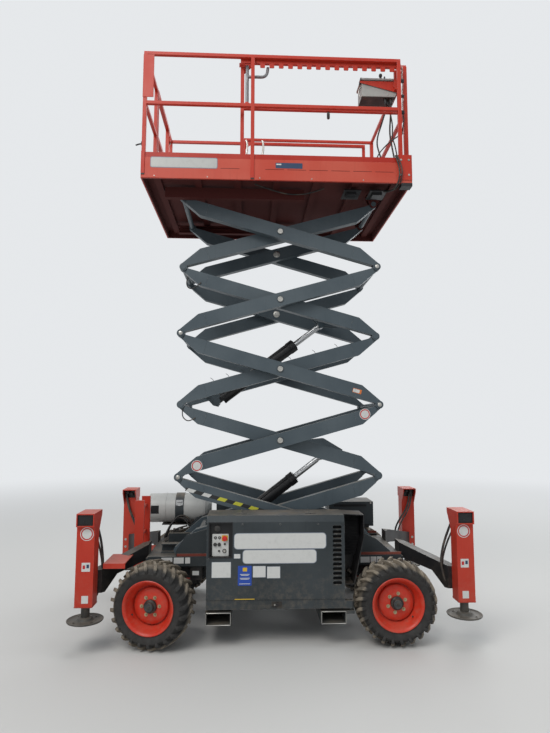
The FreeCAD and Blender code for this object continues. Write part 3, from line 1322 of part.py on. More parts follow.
def control_box():
    """Slanted case in an open wedge-shaped bracket that hangs on the roll-out deck's top rail."""
    low = edge_z + s.box_bottom_rise
    deep = around(s.box_y, s.box_depth)
    right = deck_half_x - s.box_margin
    left = right - s.box_length
    wall = s.tray_wall
    slanted = [(left, low), (right, low), (right, low + s.box_height), (left, low + s.box_height - 20)]
    wedge = [(left - 10, low - 12), (right + 4, low - 40), (right + 4, low + 45), (left - 10, low + 30)]
    bracket = [sweep("bracket_near", wedge, "front", deep[0] - wall, deep[0]),
               sweep("bracket_far", wedge, "front", deep[1], deep[1] + wall),
               box("bracket_floor", (left - 10, right), (deep[0] - 1, deep[1] + 1), (low - wall, low))]
    pieces = [sweep("control_case", slanted, "front", *deep),
              rod("joystick", "z", 9, low + s.box_height - 20, low + s.box_height + 45, x=left + 130, y=s.box_y),
              box("control_hook", (right - 90, right - 40), (-s.roll_half_y + s.rail_size, deep[0] - wall + 2),
                  (low + 20, edge_z + s.rail_rise - s.rail_size))]
    node(fuse("control_whole", pieces + bracket), "control_box")


def write_nodes():
    document.recompute()
    faults = [thing.Label for thing in document.Objects
              if "Invalid" in thing.State or "Error" in thing.State]
    faults += [thing.Label for thing in nodes if thing.Shape.isNull() or not thing.Shape.isValid()]
    if faults:
        raise RuntimeError("Not built: " + ", ".join(faults))
    os.makedirs("parts", exist_ok=True)
    for thing in nodes:
        thing.Shape.exportStep("parts/%s.step" % thing.Label)
    print(len(nodes), "sub-parts written")


scissor_stack()
lift_cylinder(1, 1)
lift_cylinder(2, 3)
chassis_frame()
scissor_trough()
axles()
knuckles()
wheels()
near_left_arm = outriggers()
side_trays()
gas_tank()
node(group("ways_up", [ladder(), side_step(near_left_arm)]), "ladder")
platform_deck()
platform_rails()
gate()
roll_out_deck()
control_box()
write_nodes()
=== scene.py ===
"""Looks of a rough terrain scissor lift: finishes, tyres, plates, labels, controls, hoses and fasteners.

Metres, +Z up, +X towards the fixed end of the scissor stack, +Y to the far side.
"""

import json
from math import cos, pi, radians, sin

import bmesh
import bpy
from mathutils import Euler, Matrix, Vector


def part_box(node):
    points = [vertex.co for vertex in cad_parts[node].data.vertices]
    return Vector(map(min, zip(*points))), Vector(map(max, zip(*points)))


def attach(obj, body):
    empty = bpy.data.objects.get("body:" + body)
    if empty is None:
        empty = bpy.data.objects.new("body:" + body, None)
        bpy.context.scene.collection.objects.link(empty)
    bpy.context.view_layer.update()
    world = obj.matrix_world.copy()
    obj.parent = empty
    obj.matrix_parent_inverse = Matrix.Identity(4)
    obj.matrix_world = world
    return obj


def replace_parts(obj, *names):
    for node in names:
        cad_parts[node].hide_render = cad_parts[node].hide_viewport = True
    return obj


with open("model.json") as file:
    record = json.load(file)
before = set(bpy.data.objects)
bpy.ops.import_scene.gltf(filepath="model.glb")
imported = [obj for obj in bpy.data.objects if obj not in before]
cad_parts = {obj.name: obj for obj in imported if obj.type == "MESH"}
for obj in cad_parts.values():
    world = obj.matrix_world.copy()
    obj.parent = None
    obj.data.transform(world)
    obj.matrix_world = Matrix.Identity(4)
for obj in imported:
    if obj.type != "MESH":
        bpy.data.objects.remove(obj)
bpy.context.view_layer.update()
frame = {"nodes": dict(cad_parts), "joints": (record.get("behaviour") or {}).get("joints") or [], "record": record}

RENDER_HEIGHT = 733


# Finishes

class Nodes:
    """A material's node tree with short calls for the nodes used here."""

    def __init__(self, name):
        self.material = bpy.data.materials.new(name)
        self.material.use_nodes = True
        self.tree = self.material.node_tree
        self.shader = self.tree.nodes["Principled BSDF"]
        self.place = self.add("ShaderNodeTexCoord").outputs["Object"]
        self.normal = self.add("ShaderNodeNewGeometry").outputs["Normal"]

    def add(self, kind, **values):
        node = self.tree.nodes.new(kind)
        for key, value in values.items():
            setattr(node, key, value)
        return node

    def link(self, value, socket):
        if isinstance(value, bpy.types.NodeSocket):
            self.tree.links.new(value, socket)
        elif isinstance(value, (tuple, list)) and len(value) == 3 and socket.type == "RGBA":
            socket.default_value = (*value, 1)
        else:
            socket.default_value = value

    def math(self, operation, a, b=0.0):
        node = self.add("ShaderNodeMath", operation=operation)
        for socket, value in zip(node.inputs, (a, b)):
            self.link(value, socket)
        return node.outputs[0]

    def stretched(self, x, y, z):
        node = self.add("ShaderNodeMapping")
        self.link(self.place, node.inputs["Vector"])
        node.inputs["Scale"].default_value = (x, y, z)
        return node.outputs[0]

    def noise(self, scale, detail=3.0, rough=0.55, vector=None, distortion=0.0):
        node = self.add("ShaderNodeTexNoise")
        self.link(self.place if vector is None else vector, node.inputs["Vector"])
        node.inputs["Scale"].default_value = scale
        node.inputs["Detail"].default_value = detail
        node.inputs["Roughness"].default_value = rough
        node.inputs["Distortion"].default_value = distortion
        return node.outputs["Fac"]

    def ramp(self, value, low, high, to_low=0.0, to_high=1.0):
        node = self.add("ShaderNodeMapRange", interpolation_type="SMOOTHSTEP")
        for socket, given in zip(node.inputs, (value, low, high, to_low, to_high)):
            self.link(given, socket)
        return node.outputs[0]

    def mix(self, share, a, b):
        node = self.add("ShaderNodeMix", data_type="RGBA")
        self.link(share, node.inputs["Factor"])
        self.link(a, node.inputs["A"])
        self.link(b, node.inputs["B"])
        return node.outputs["Result"]

    def upward(self, low=0.55, high=0.95):
        node = self.add("ShaderNodeSeparateXYZ")
        self.link(self.normal, node.inputs[0])
        return self.ramp(node.outputs["Z"], low, high)

    def height(self, low, high):
        node = self.add("ShaderNodeSeparateXYZ")
        self.link(self.place, node.inputs[0])
        return self.ramp(node.outputs["Z"], low, high)

    def edges(self, radius):
        """1 along sharp outer edges, 0 on flat faces."""
        bevel = self.add("ShaderNodeBevel", samples=4)
        bevel.inputs["Radius"].default_value = radius
        dot = self.add("ShaderNodeVectorMath", operation="DOT_PRODUCT")
        self.link(bevel.outputs[0], dot.inputs[0])
        self.link(self.normal, dot.inputs[1])
        return self.ramp(dot.outputs["Value"], 0.995, 0.9)

    def bump(self, height, strength, distance):
        node = self.add("ShaderNodeBump")
        self.link(height, node.inputs["Height"])
        node.inputs["Strength"].default_value = strength
        node.inputs["Distance"].default_value = distance
        self.link(node.outputs[0], self.shader.inputs["Normal"])

    def finish(self, colour, rough, metallic=0.0):
        for key, value in (("Base Color", colour), ("Roughness", rough), ("Metallic", metallic)):
            self.link(value, self.shader.inputs[key])
        return self.material


DUST = (0.3, 0.235, 0.165)
BARE_STEEL = (0.3, 0.29, 0.28)
# Dark maroon painted shade for the room under the platform floor.
UNDERSIDE_SHADE_MAROON = (0.075, 0.014, 0.012)
SPLASH_TOP = 0.75


def painted(name, colour, faded, rough=0.38, dust=0.4, wear=0.5, shaded=None):
    """Sprayed enamel: faded patches, dust on top faces, splashes near the ground, chips along edges.

    shaded gives half x, half y and top of a room whose faces get a dark maroon painted shade and a rougher finish.
    """
    n = Nodes(name)
    tone = n.mix(n.ramp(n.noise(1.7, 4.0), 0.35, 0.7), colour, faded)
    streak = n.ramp(n.noise(1.0, 5.0, 0.6, n.stretched(46, 46, 2.2)), 0.52, 0.78, 0.0, 0.22)
    tone = n.mix(streak, tone, [v * 0.62 for v in colour])
    scuff = n.ramp(n.noise(1.0, 2.0, 0.7, n.stretched(16, 16, 240), 0.6), 0.67, 0.73, 0.0, 0.3 * wear)
    tone = n.mix(scuff, tone, [min(1, v * 1.5 + 0.05) for v in faded])
    chips = n.math("MULTIPLY", n.edges(0.004), n.ramp(n.noise(38, 3.0), 0.5, 0.62, 0.0, wear))
    tone = n.mix(chips, tone, BARE_STEEL)
    settled = n.math("MULTIPLY", n.upward(), n.ramp(n.noise(9, 5.0, 0.65), 0.3, 0.75, 0.25 * dust, dust))
    splash = n.math("MULTIPLY", n.height(SPLASH_TOP, SPLASH_TOP * 0.3),
        n.ramp(n.noise(23, 6.0, 0.7), 0.42, 0.7, 0.02, 0.22))
    dirt = n.math("MAXIMUM", settled, splash)
    tone = n.mix(dirt, tone, DUST)
    shine = n.math("ADD", n.ramp(n.noise(6.0, 4.0), 0.3, 0.8, rough - 0.06, rough + 0.1),
        n.math("MULTIPLY", dirt, 0.4))
    # Painted shade: faces in the room under the platform floor turn dark maroon and rough.
    if shaded:
        spot = n.add("ShaderNodeSeparateXYZ")
        n.link(n.place, spot.inputs[0])
        inside = n.math("LESS_THAN", spot.outputs["Z"], shaded[2])
        for axis, half in (("X", shaded[0]), ("Y", shaded[1])):
            inside = n.math("MULTIPLY", inside, n.math("LESS_THAN", n.math("ABSOLUTE", spot.outputs[axis]),
                half))
        tone = n.mix(inside, tone, UNDERSIDE_SHADE_MAROON)
        shine = n.math("MAXIMUM", shine, n.math("MULTIPLY", inside, 0.8))
    n.bump(n.math("ADD", n.noise(420, 2.0), n.math("MULTIPLY", dirt, 2.0)), 0.12, 0.0006)
    n.shader.inputs["Specular IOR Level"].default_value = 0.3
    return n.finish(tone, shine)


def rubber(name, colour=(0.022, 0.021, 0.021), rough=0.72, dust=0.25):
    n = Nodes(name)
    patch = n.ramp(n.noise(14, 5.0), 0.42, 0.72, 0.0, dust)
    tone = n.mix(patch, colour, DUST)
    n.bump(n.noise(260, 3.0), 0.2, 0.0008)
    return n.finish(tone, n.ramp(n.noise(9), 0.3, 0.7, rough - 0.08, rough + 0.08))


def tyre_rubber(name, axis_x, axis_y, axis_z, tread_radius):
    """Black sidewalls and lugs whose tips carry dried earth, by their distance from the wheel's axis."""
    n = Nodes(name)
    offset = n.add("ShaderNodeVectorMath", operation="SUBTRACT")
    n.link(n.place, offset.inputs[0])
    offset.inputs[1].default_value = (axis_x, axis_y, axis_z)
    flat = n.add("ShaderNodeVectorMath", operation="MULTIPLY")
    n.link(offset.outputs[0], flat.inputs[0])
    flat.inputs[1].default_value = (1, 0, 1)
    length = n.add("ShaderNodeVectorMath", operation="LENGTH")
    n.link(flat.outputs[0], length.inputs[0])
    out = n.ramp(length.outputs["Value"], tread_radius * 0.87, tread_radius * 0.94)
    earth = n.math("MULTIPLY", out, n.ramp(n.noise(11, 6.0, 0.7), 0.3, 0.62, 0.35, 0.95))
    film = n.ramp(n.noise(7, 5.0, 0.6), 0.35, 0.75, 0.01, 0.09)
    tone = n.mix(film, (0.018, 0.0175, 0.017), (0.12, 0.1, 0.08))
    tone = n.mix(earth, tone, (0.27, 0.225, 0.17))
    fine = n.noise(150, 4.0, 0.65)
    n.bump(n.math("ADD", fine, n.math("MULTIPLY", earth, n.noise(55, 4.0, 0.7))), 0.5, 0.003)
    return n.finish(tone, n.ramp(n.noise(20), 0.3, 0.7, 0.68, 0.9))


def bright_metal(name, colour, rough, metallic=1.0, grime=0.3):
    n = Nodes(name)
    patch = n.ramp(n.noise(19, 5.0, 0.6), 0.45, 0.75, 0.0, grime)
    tone = n.mix(patch, colour, [v * 0.35 for v in colour])
    return n.finish(tone, n.ramp(n.noise(12, 3.0), 0.3, 0.7, rough, rough + 0.12), metallic)


def plain_sheet(name, colour, rough=0.35, grime=0.25):
    """Label or plate stock: one colour, a little grimy."""
    n = Nodes(name)
    patch = n.ramp(n.noise(26, 5.0, 0.65), 0.45, 0.8, 0.0, grime)
    tone = n.mix(patch, colour, [v * 0.55 for v in colour])
    n.bump(n.noise(90, 2.0), 0.05, 0.0004)
    return n.finish(tone, n.ramp(n.noise(8), 0.3, 0.7, rough, rough + 0.15))


ORANGE = painted("orange_red_enamel", (0.46, 0.03, 0.014), (0.5, 0.05, 0.028))
# Platform enamel whose room under the floor gets painted shade.
DECK_ORANGE = painted("platform_enamel", (0.39, 0.021, 0.01), (0.43, 0.034, 0.018),
    shaded=(1.19, 0.765, 4.008))
# Lighter copy of the orange enamel for the toe board's lower half: painted light, so the deck's band above it
# reads as shaded.
LIT_BOARD_ORANGE = painted("lit_board_orange_enamel", (0.5, 0.06, 0.034), (0.54, 0.095, 0.06), dust=0.2, wear=0.3)
SIGNAL = painted("wheel_enamel", (0.56, 0.026, 0.01), (0.6, 0.045, 0.022), rough=0.33, dust=0.25, wear=0.3)
GREY = painted("blue_grey_enamel", (0.026, 0.033, 0.037), (0.042, 0.051, 0.056), rough=0.42)
# Lighter copy of the blue-grey enamel for the scissor arms: painted skylight.
SKYLIT_ARM_GREY = painted("arm_enamel_skylit_copy", (0.062, 0.082, 0.096), (0.088, 0.11, 0.124), rough=0.42)
BLACK = painted("black_enamel", (0.012, 0.012, 0.013), (0.024, 0.024, 0.026), rough=0.4, dust=0.3, wear=0.2)
DARK_PAINT = painted("dark_panel_enamel", (0.01, 0.01, 0.011), (0.018, 0.018, 0.02), rough=0.5, dust=0.1,
    wear=0.0)
PAD_GREY = painted("pad_enamel", (0.05, 0.05, 0.047), (0.085, 0.083, 0.076), rough=0.5, dust=0.35, wear=0.6)
PRIMER = painted("primer_red", (0.16, 0.03, 0.02), (0.24, 0.07, 0.05), rough=0.6, dust=0.5, wear=0.1)
PALE = painted("pale_tank_enamel", (0.4, 0.41, 0.4), (0.5, 0.5, 0.48), rough=0.35, dust=0.2, wear=0.2)
CHROME = bright_metal("hard_chrome", (0.48, 0.49, 0.5), 0.27, grime=0.15)
STEEL = bright_metal("zinc_plated_steel", (0.46, 0.45, 0.42), 0.34)
PIPE = bright_metal("galvanised_pipe", (0.21, 0.215, 0.22), 0.45, metallic=0.6, grime=0.2)
BRASS = bright_metal("brass", (0.55, 0.4, 0.16), 0.3)
NUT = bright_metal("yellow_zinc", (0.44, 0.38, 0.24), 0.4, metallic=0.7)
BURNT = bright_metal("burnt_steel", (0.16, 0.14, 0.12), 0.5, metallic=0.8, grime=0.6)
HOSE = rubber("hose_rubber")
GRIP = rubber("grip_rubber", rough=0.55, dust=0.1)
NYLON = rubber("nylon", (0.05, 0.05, 0.048), rough=0.5, dust=0.1)
WHITE = plain_sheet("white_plate", (0.62, 0.62, 0.6))
SILVER = plain_sheet("silver_plate", (0.46, 0.46, 0.44), rough=0.3)
PANEL_WHITE = plain_sheet("panel_sheet", (0.56, 0.56, 0.54), rough=0.5)
PLATE_EDGE = plain_sheet("plate_edge", (0.2, 0.23, 0.28))
RED = plain_sheet("red_print", (0.48, 0.02, 0.02))
SIGNAL_RED = plain_sheet("stop_button_red", (0.55, 0.012, 0.008), rough=0.3, grime=0.1)
INK = plain_sheet("black_print", (0.015, 0.015, 0.015))
# Painted shadow: dark strip in the toe board's seam groove.
PAINTED_SEAM_SHADOW = plain_sheet("seam_shadow", (0.1, 0.012, 0.008), rough=0.8)
BLUE = plain_sheet("blue_print", (0.012, 0.06, 0.36))
NAVY = plain_sheet("navy_print", (0.012, 0.04, 0.095))
YELLOW = plain_sheet("yellow_print", (0.66, 0.42, 0.02))
YELLOW_GREEN = plain_sheet("band_yellow", (0.58, 0.56, 0.05))
AMBER = plain_sheet("amber_print", (0.62, 0.16, 0.03))
BOX_GREY = plain_sheet("moulded_grey", (0.36, 0.36, 0.35), rough=0.5)
CASE_GREY = plain_sheet("console_grey", (0.36, 0.36, 0.34), rough=0.5)
TOP_GREY = plain_sheet("console_top_grey", (0.42, 0.43, 0.41), rough=0.5)
# Near-black painted shade for openings and hollows: slots, the louvre room, the duct and the tank collar.
INSIDE_SHADE = plain_sheet("painted_inside_shade", (0.008, 0.008, 0.009), rough=0.8)

SLOT_FINISH = {"orange_red": ORANGE, "blue_grey": GREY, "black": BLACK, "pale_grey": PALE, "steel": STEEL,
    "chrome": CHROME, "box_grey": BOX_GREY, "tyre": HOSE}
for part in frame["record"]["subparts"]:
    carried = frame["nodes"][part["node"]]
    carried.data.materials.clear()
    finish = SLOT_FINISH[part["material_slot"]]
    if part["node"].startswith("rim"):
        finish = SIGNAL
    elif part["node"].startswith("outrigger_leg"):
        finish = PAD_GREY
    elif part["node"] == "platform_deck":
        finish = DECK_ORANGE
    # The arms take the lighter copy of the blue-grey: painted skylight.
    elif part["node"].startswith("arm_"):
        finish = SKYLIT_ARM_GREY
    carried.data.materials.append(finish)


# Stage, light and camera

BACKDROP = (0.79, 0.81, 0.83)


def stage():
    """Pale floor that melts into the backdrop's colour far from the machine, under an even studio sky."""
    floor = bpy.data.meshes.new("floor")
    reach = 60
    floor.from_pydata([(-reach, -reach, 0), (reach, -reach, 0), (reach, reach, 0), (-reach, reach, 0)], [],
        [(0, 1, 2, 3)])
    ground = bpy.data.objects.new("floor", floor)
    bpy.context.scene.collection.objects.link(ground)
    n = Nodes("pale_floor")
    n.bump(n.noise(60, 3.0), 0.05, 0.002)
    n.finish((0.58, 0.57, 0.55), 0.85)
    length = n.add("ShaderNodeVectorMath", operation="LENGTH")
    n.link(n.place, length.inputs[0])
    far = n.ramp(length.outputs["Value"], 3.5, 15.0)
    path = n.add("ShaderNodeLightPath")
    seen = n.math("MAXIMUM", path.outputs["Is Camera Ray"], path.outputs["Is Glossy Ray"])
    glow = n.add("ShaderNodeEmission")
    glow.inputs["Color"].default_value = (*BACKDROP, 1)
    blend = n.add("ShaderNodeMixShader")
    n.link(n.math("MULTIPLY", far, seen), blend.inputs[0])
    n.tree.links.new(n.shader.outputs[0], blend.inputs[1])
    n.tree.links.new(glow.outputs[0], blend.inputs[2])
    n.tree.links.new(blend.outputs[0], n.tree.nodes["Material Output"].inputs["Surface"])
    floor.materials.append(n.material)

    world = bpy.data.worlds.new("studio")
    bpy.context.scene.world = world
    world.use_nodes = True
    tree = world.node_tree
    tree.nodes.clear()
    path = tree.nodes.new("ShaderNodeLightPath")
    fill = tree.nodes.new("ShaderNodeBackground")
    fill.inputs["Color"].default_value = (0.88, 0.94, 1.0, 1)
    fill.inputs["Strength"].default_value = 0.5
    seen = tree.nodes.new("ShaderNodeBackground")
    seen.inputs["Color"].default_value = (*BACKDROP, 1)
    seen.inputs["Strength"].default_value = 1.0
    pick = tree.nodes.new("ShaderNodeMixShader")
    out = tree.nodes.new("ShaderNodeOutputWorld")
    shown = path.outputs["Is Camera Ray"]
    for kind in ("Is Glossy Ray", "Is Transmission Ray"):
        either = tree.nodes.new("ShaderNodeMath")
        either.operation = "MAXIMUM"
        tree.links.new(shown, either.inputs[0])
        tree.links.new(path.outputs[kind], either.inputs[1])
        shown = either.outputs[0]
    tree.links.new(shown, pick.inputs[0])
    tree.links.new(fill.outputs[0], pick.inputs[1])
    tree.links.new(seen.outputs[0], pick.inputs[2])
    tree.links.new(pick.outputs[0], out.inputs[0])


def lamp(name, spot, target, size, watts, colour=(1, 1, 1)):
    light = bpy.data.lights.new(name, "AREA")
    light.size = size
    light.energy = watts
    light.color = colour
    holder = bpy.data.objects.new(name, light)
    bpy.context.scene.collection.objects.link(holder)
    holder.location = spot
    holder.rotation_euler = (Vector(target) - Vector(spot)).to_track_quat("-Z", "Y").to_euler()


def camera():
    """Low in front and a little to the left, fitted to the machine's edges in the photograph."""
    eye = bpy.data.cameras.new("camera")
    focal_pixels = 539.8
    eye.sensor_width = 36
    eye.lens = eye.sensor_width * focal_pixels / RENDER_HEIGHT
    holder = bpy.data.objects.new("camera", eye)
    bpy.context.scene.collection.objects.link(holder)
    holder.location = (-0.233, -5.333, 1.797)
    holder.rotation_euler = Euler((radians(95.991), radians(-0.066), radians(-2.634)))
    bpy.context.scene.camera = holder


stage()
lamp("key", (-5, -8, 11), (0, 0, 2.5), 7, 900, (1, 0.985, 0.96))
lamp("top", (2, 1, 12), (0, 0, 3), 9, 520, (0.95, 0.98, 1))
lamp("rear", (6, 8, 7), (0, 0, 2), 6, 300, (0.95, 0.98, 1))
camera()
bpy.context.scene.view_settings.view_transform = "Standard"

# Shapes

shape = bmesh.new()


def made(name, body, material, edge=0.0, sharp=38, merge=0.0):
    """Turns what was drawn since the last piece into one that rides on a body, in the given finish.

    edge rounds the sharp edges, and merge welds verts that lie closer than it.
    """
    global shape
    if merge:
        bmesh.ops.remove_doubles(shape, verts=shape.verts, dist=merge)
    bmesh.ops.recalc_face_normals(shape, faces=shape.faces)
    mesh = bpy.data.meshes.new(name)
    shape.to_mesh(mesh)
    shape.free()
    shape = bmesh.new()
    mesh.materials.append(material)
    piece = bpy.data.objects.new(name, mesh)
    bpy.context.scene.collection.objects.link(piece)
    if edge:
        rounding = piece.modifiers.new("rounding", "BEVEL")
        rounding.width = edge
        rounding.segments = 2
        rounding.limit_method = "ANGLE"
        rounding.angle_limit = radians(sharp)
        rounding.harden_normals = False
    mesh.shade_smooth()
    mesh.set_sharp_from_angle(angle=radians(sharp))
    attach(piece, body)
    return piece


def block(low, high, turn=None):
    """Box between two corners, turned by a matrix when one is given."""
    verts = [shape.verts.new((x, y, z)) for x in (low[0], high[0]) for y in (low[1], high[1])
        for z in (low[2], high[2])]
    for face in ((0, 1, 3, 2), (4, 6, 7, 5), (0, 4, 5, 1), (2, 3, 7, 6), (0, 2, 6, 4), (1, 5, 7, 3)):
        shape.faces.new([verts[i] for i in face])
    if turn is not None:
        bmesh.ops.transform(shape, matrix=turn, verts=verts)
    return verts


def side_block(side, low, high):
    """Box between two corners that are given for the far side."""
    y0, y1 = sorted((side * low[1], side * high[1]))
    block((low[0], y0, low[2]), (high[0], y1, high[2]))


def frame_at(origin, axis, up=(0, 0, 1)):
    """Matrix whose Z runs along axis and whose Y leans to up."""
    z = Vector(axis).normalized()
    y = Vector(up) - z * z.dot(Vector(up))
    if y.length < 1e-6:
        y = Vector((0, 1, 0)) - z * z.y
    y.normalize()
    x = y.cross(z)
    matrix = Matrix((x, y, z)).transposed().to_4x4()
    matrix.translation = Vector(origin)
    return matrix


def joined(rings, capped=True):
    """Skins rings of verts that all have the same count, and closes both ends."""
    count = len(rings[0])
    for low, high in zip(rings, rings[1:]):
        for i in range(count):
            j = (i + 1) % count
            shape.faces.new((low[i], low[j], high[j], high[i]))
    if capped:
        shape.faces.new(rings[0][::-1])
        shape.faces.new(rings[-1])


def turned(profile, matrix, steps=48):
    """Revolves (radius, height) points about the matrix's Z."""
    rings = []
    for radius, height in profile:
        if radius < 1e-6:
            rings.append([shape.verts.new(matrix @ Vector((0, 0, height)))])
            continue
        rings.append([shape.verts.new(matrix @ Vector((x, y, height))) for x, y in circle(radius, steps)])
    for low, high in zip(rings, rings[1:]):
        for i in range(steps):
            j = (i + 1) % steps
            if len(low) == 1 and len(high) == 1:
                break
            if len(low) == 1:
                shape.faces.new((low[0], high[i], high[j]))
            elif len(high) == 1:
                shape.faces.new((low[i], low[j], high[0]))
            else:
                shape.faces.new((low[i], low[j], high[j], high[i]))


def disc(origin, axis, radius, depth, steps=28):
    """Short round bar with its foot at origin."""
    turned([(0, 0), (radius, 0), (radius, depth), (0, depth)], frame_at(origin, axis), steps)


def prism(corners, matrix, depth):
    """Extrudes 2D corners in the matrix's XY plane along its Z."""
    low = [shape.verts.new(matrix @ Vector((x, y, 0))) for x, y in corners]
    high = [shape.verts.new(matrix @ Vector((x, y, depth))) for x, y in corners]
    shape.faces.new(low[::-1])
    shape.faces.new(high)
    for i in range(len(corners)):
        j = (i + 1) % len(corners)
        shape.faces.new((low[i], low[j], high[j], high[i]))


def rounded(width, height, radius, steps=5):
    """Corners of a rectangle with round corners about the origin."""
    points = []
    for cx, cy, start in ((1, 1, 0), (-1, 1, 90), (-1, -1, 180), (1, -1, 270)):
        for i in range(steps + 1):
            a = radians(start + 90 * i / steps)
            points.append((cx * (width / 2 - radius) + radius * cos(a),
                cy * (height / 2 - radius) + radius * sin(a)))
    return points


def circle(radius, steps=32):
    return [(radius * cos(2 * pi * i / steps), radius * sin(2 * pi * i / steps)) for i in range(steps)]


def bolt(origin, axis, across=0.019, turn=0.0):
    """Hexagon head on a washer."""
    matrix = frame_at(origin, axis)
    turned([(0, 0), (across * 0.95, 0), (across * 0.95, 0.0025), (0, 0.0025)], matrix, 20)
    head = [(across * 0.577 * cos(turn + i * pi / 3), across * 0.577 * sin(turn + i * pi / 3))
        for i in range(6)]
    prism(head, matrix @ Matrix.Translation((0, 0, 0.0025)), across * 0.5)


def smooth_path(points, spans=6):
    """Catmull-Rom curve through the points."""
    points = [Vector(p) for p in points]
    ends = [points[0] * 2 - points[1]] + points + [points[-1] * 2 - points[-2]]
    out = []
    for a, b, c, d in zip(ends, ends[1:], ends[2:], ends[3:]):
        for i in range(spans):
            t = i / spans
            out.append(0.5 * ((2 * b) + (c - a) * t + (2 * a - 5 * b + 4 * c - d) * t * t
                + (3 * b - a - 3 * c + d) * t ** 3))
    out.append(points[-1])
    return out


def tube(points, radius, steps=12, capped=True):
    """Round bar along a path, with no twist."""
    points = [Vector(p) for p in points]
    up = Vector((0, 0, 1))
    first = (points[1] - points[0]).normalized()
    if abs(first.z) > 0.9:
        up = Vector((0, 1, 0))
    side = first.cross(up).normalized()
    rings = []
    for i, point in enumerate(points):
        before = points[max(i - 1, 0)]
        after = points[min(i + 1, len(points) - 1)]
        along = (after - before).normalized()
        side = (side - along * side.dot(along)).normalized()
        other = along.cross(side)
        rings.append([shape.verts.new(point + radius * (cos(a) * side + sin(a) * other))
            for a in (2 * pi * k / steps for k in range(steps))])
    joined(rings, capped)


def loop(path, radius, steps=6):
    """Closed round bar along a path."""
    tube(path + path[:1], radius, steps, capped=False)


def joint(name):
    return next(j for j in frame["joints"] if j["name"] == name)


def middle_of(node):
    low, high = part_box(node)
    return (low + high) / 2


SIDES = (("near", -1), ("far", 1))
ENDS = ("steer", "drive")


# Wheels

TYRE_RADIUS = middle_of("tyre_drive_near").z
TYRE_HALF = (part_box("tyre_drive_near")[1].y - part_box("tyre_drive_near")[0].y) / 2
LUG_PAIRS = 24
LUG_HEIGHT = 0.026
BEAD_RADIUS = 0.197


def wheel_matrix(end, word, side):
    """Frame of a wheel: Z outwards along its axle, Y up."""
    axis = Vector(joint("roll_%s_%s" % (end, word))["axis"]) * side
    return frame_at(middle_of("tyre_%s_%s" % (end, word)), axis)


def tread_lug(matrix, angle, hand):
    """Bar from the crown to the shoulder and down the sidewall, leaning back as it goes out."""
    crown = TYRE_RADIUS
    foot = TYRE_RADIUS - LUG_HEIGHT - 0.006
    stations = (  # share of half width, outer and inner radius, lean and half width in degrees
        (0.02, crown, foot, 0.0, 2.2),
        (0.36, crown - 0.001, foot, 4.6, 2.4),
        (0.68, crown - 0.007, foot - 0.006, 8.6, 2.7),
        (0.9, crown - 0.022, foot - 0.02, 10.9, 3.0),
        (1.0, crown - 0.044, foot - 0.034, 11.8, 3.0),
        (0.985, crown - 0.066, foot - 0.048, 12.2, 2.4),
    )
    rings = []
    for share, outer, inner, lean, half in stations:
        y_outer = hand * TYRE_HALF * share
        y_inner = hand * TYRE_HALF * min(share, 0.9)
        ring = []
        for radius, y, sign in ((outer, y_outer, -0.82), (outer, y_outer, 0.82), (inner, y_inner, 1),
                (inner, y_inner, -1)):
            a = radians(angle - lean + sign * half)
            ring.append(shape.verts.new(matrix @ Vector((radius * cos(a), radius * sin(a), y))))
        rings.append(ring)
    joined(rings)


def tyre(end, word, side):
    name = "tyre_%s_%s" % (end, word)
    matrix = wheel_matrix(end, word, side)
    base = TYRE_RADIUS - LUG_HEIGHT
    half = TYRE_HALF
    section = [(BEAD_RADIUS - 0.004, 0.7), (BEAD_RADIUS + 0.004, 0.8), (BEAD_RADIUS + 0.016, 0.845),
        (BEAD_RADIUS + 0.022, 0.835), (BEAD_RADIUS + 0.03, 0.87), (BEAD_RADIUS + 0.052, 0.935),
        (BEAD_RADIUS + 0.07, 0.95), (base - 0.036, 0.925), (base - 0.02, 0.84), (base - 0.005, 0.55),
        (base, 0.0)]
    profile = [(r, -share * half) for r, share in section] + [(r, share * half)
        for r, share in section[-2::-1]]
    turned(profile, matrix, 96)
    pitch = 360 / LUG_PAIRS
    for index in range(LUG_PAIRS):
        tread_lug(matrix, index * pitch, 1)
        tread_lug(matrix, (index + 0.5) * pitch, -1)
    centre = matrix.translation
    rubber_here = tyre_rubber("tyre_rubber_%s_%s" % (end, word), *centre, TYRE_RADIUS)
    piece = made(name + "_lugged", "wheel_%s_%s" % (end, word), rubber_here, edge=0.0025)
    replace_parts(piece, name)


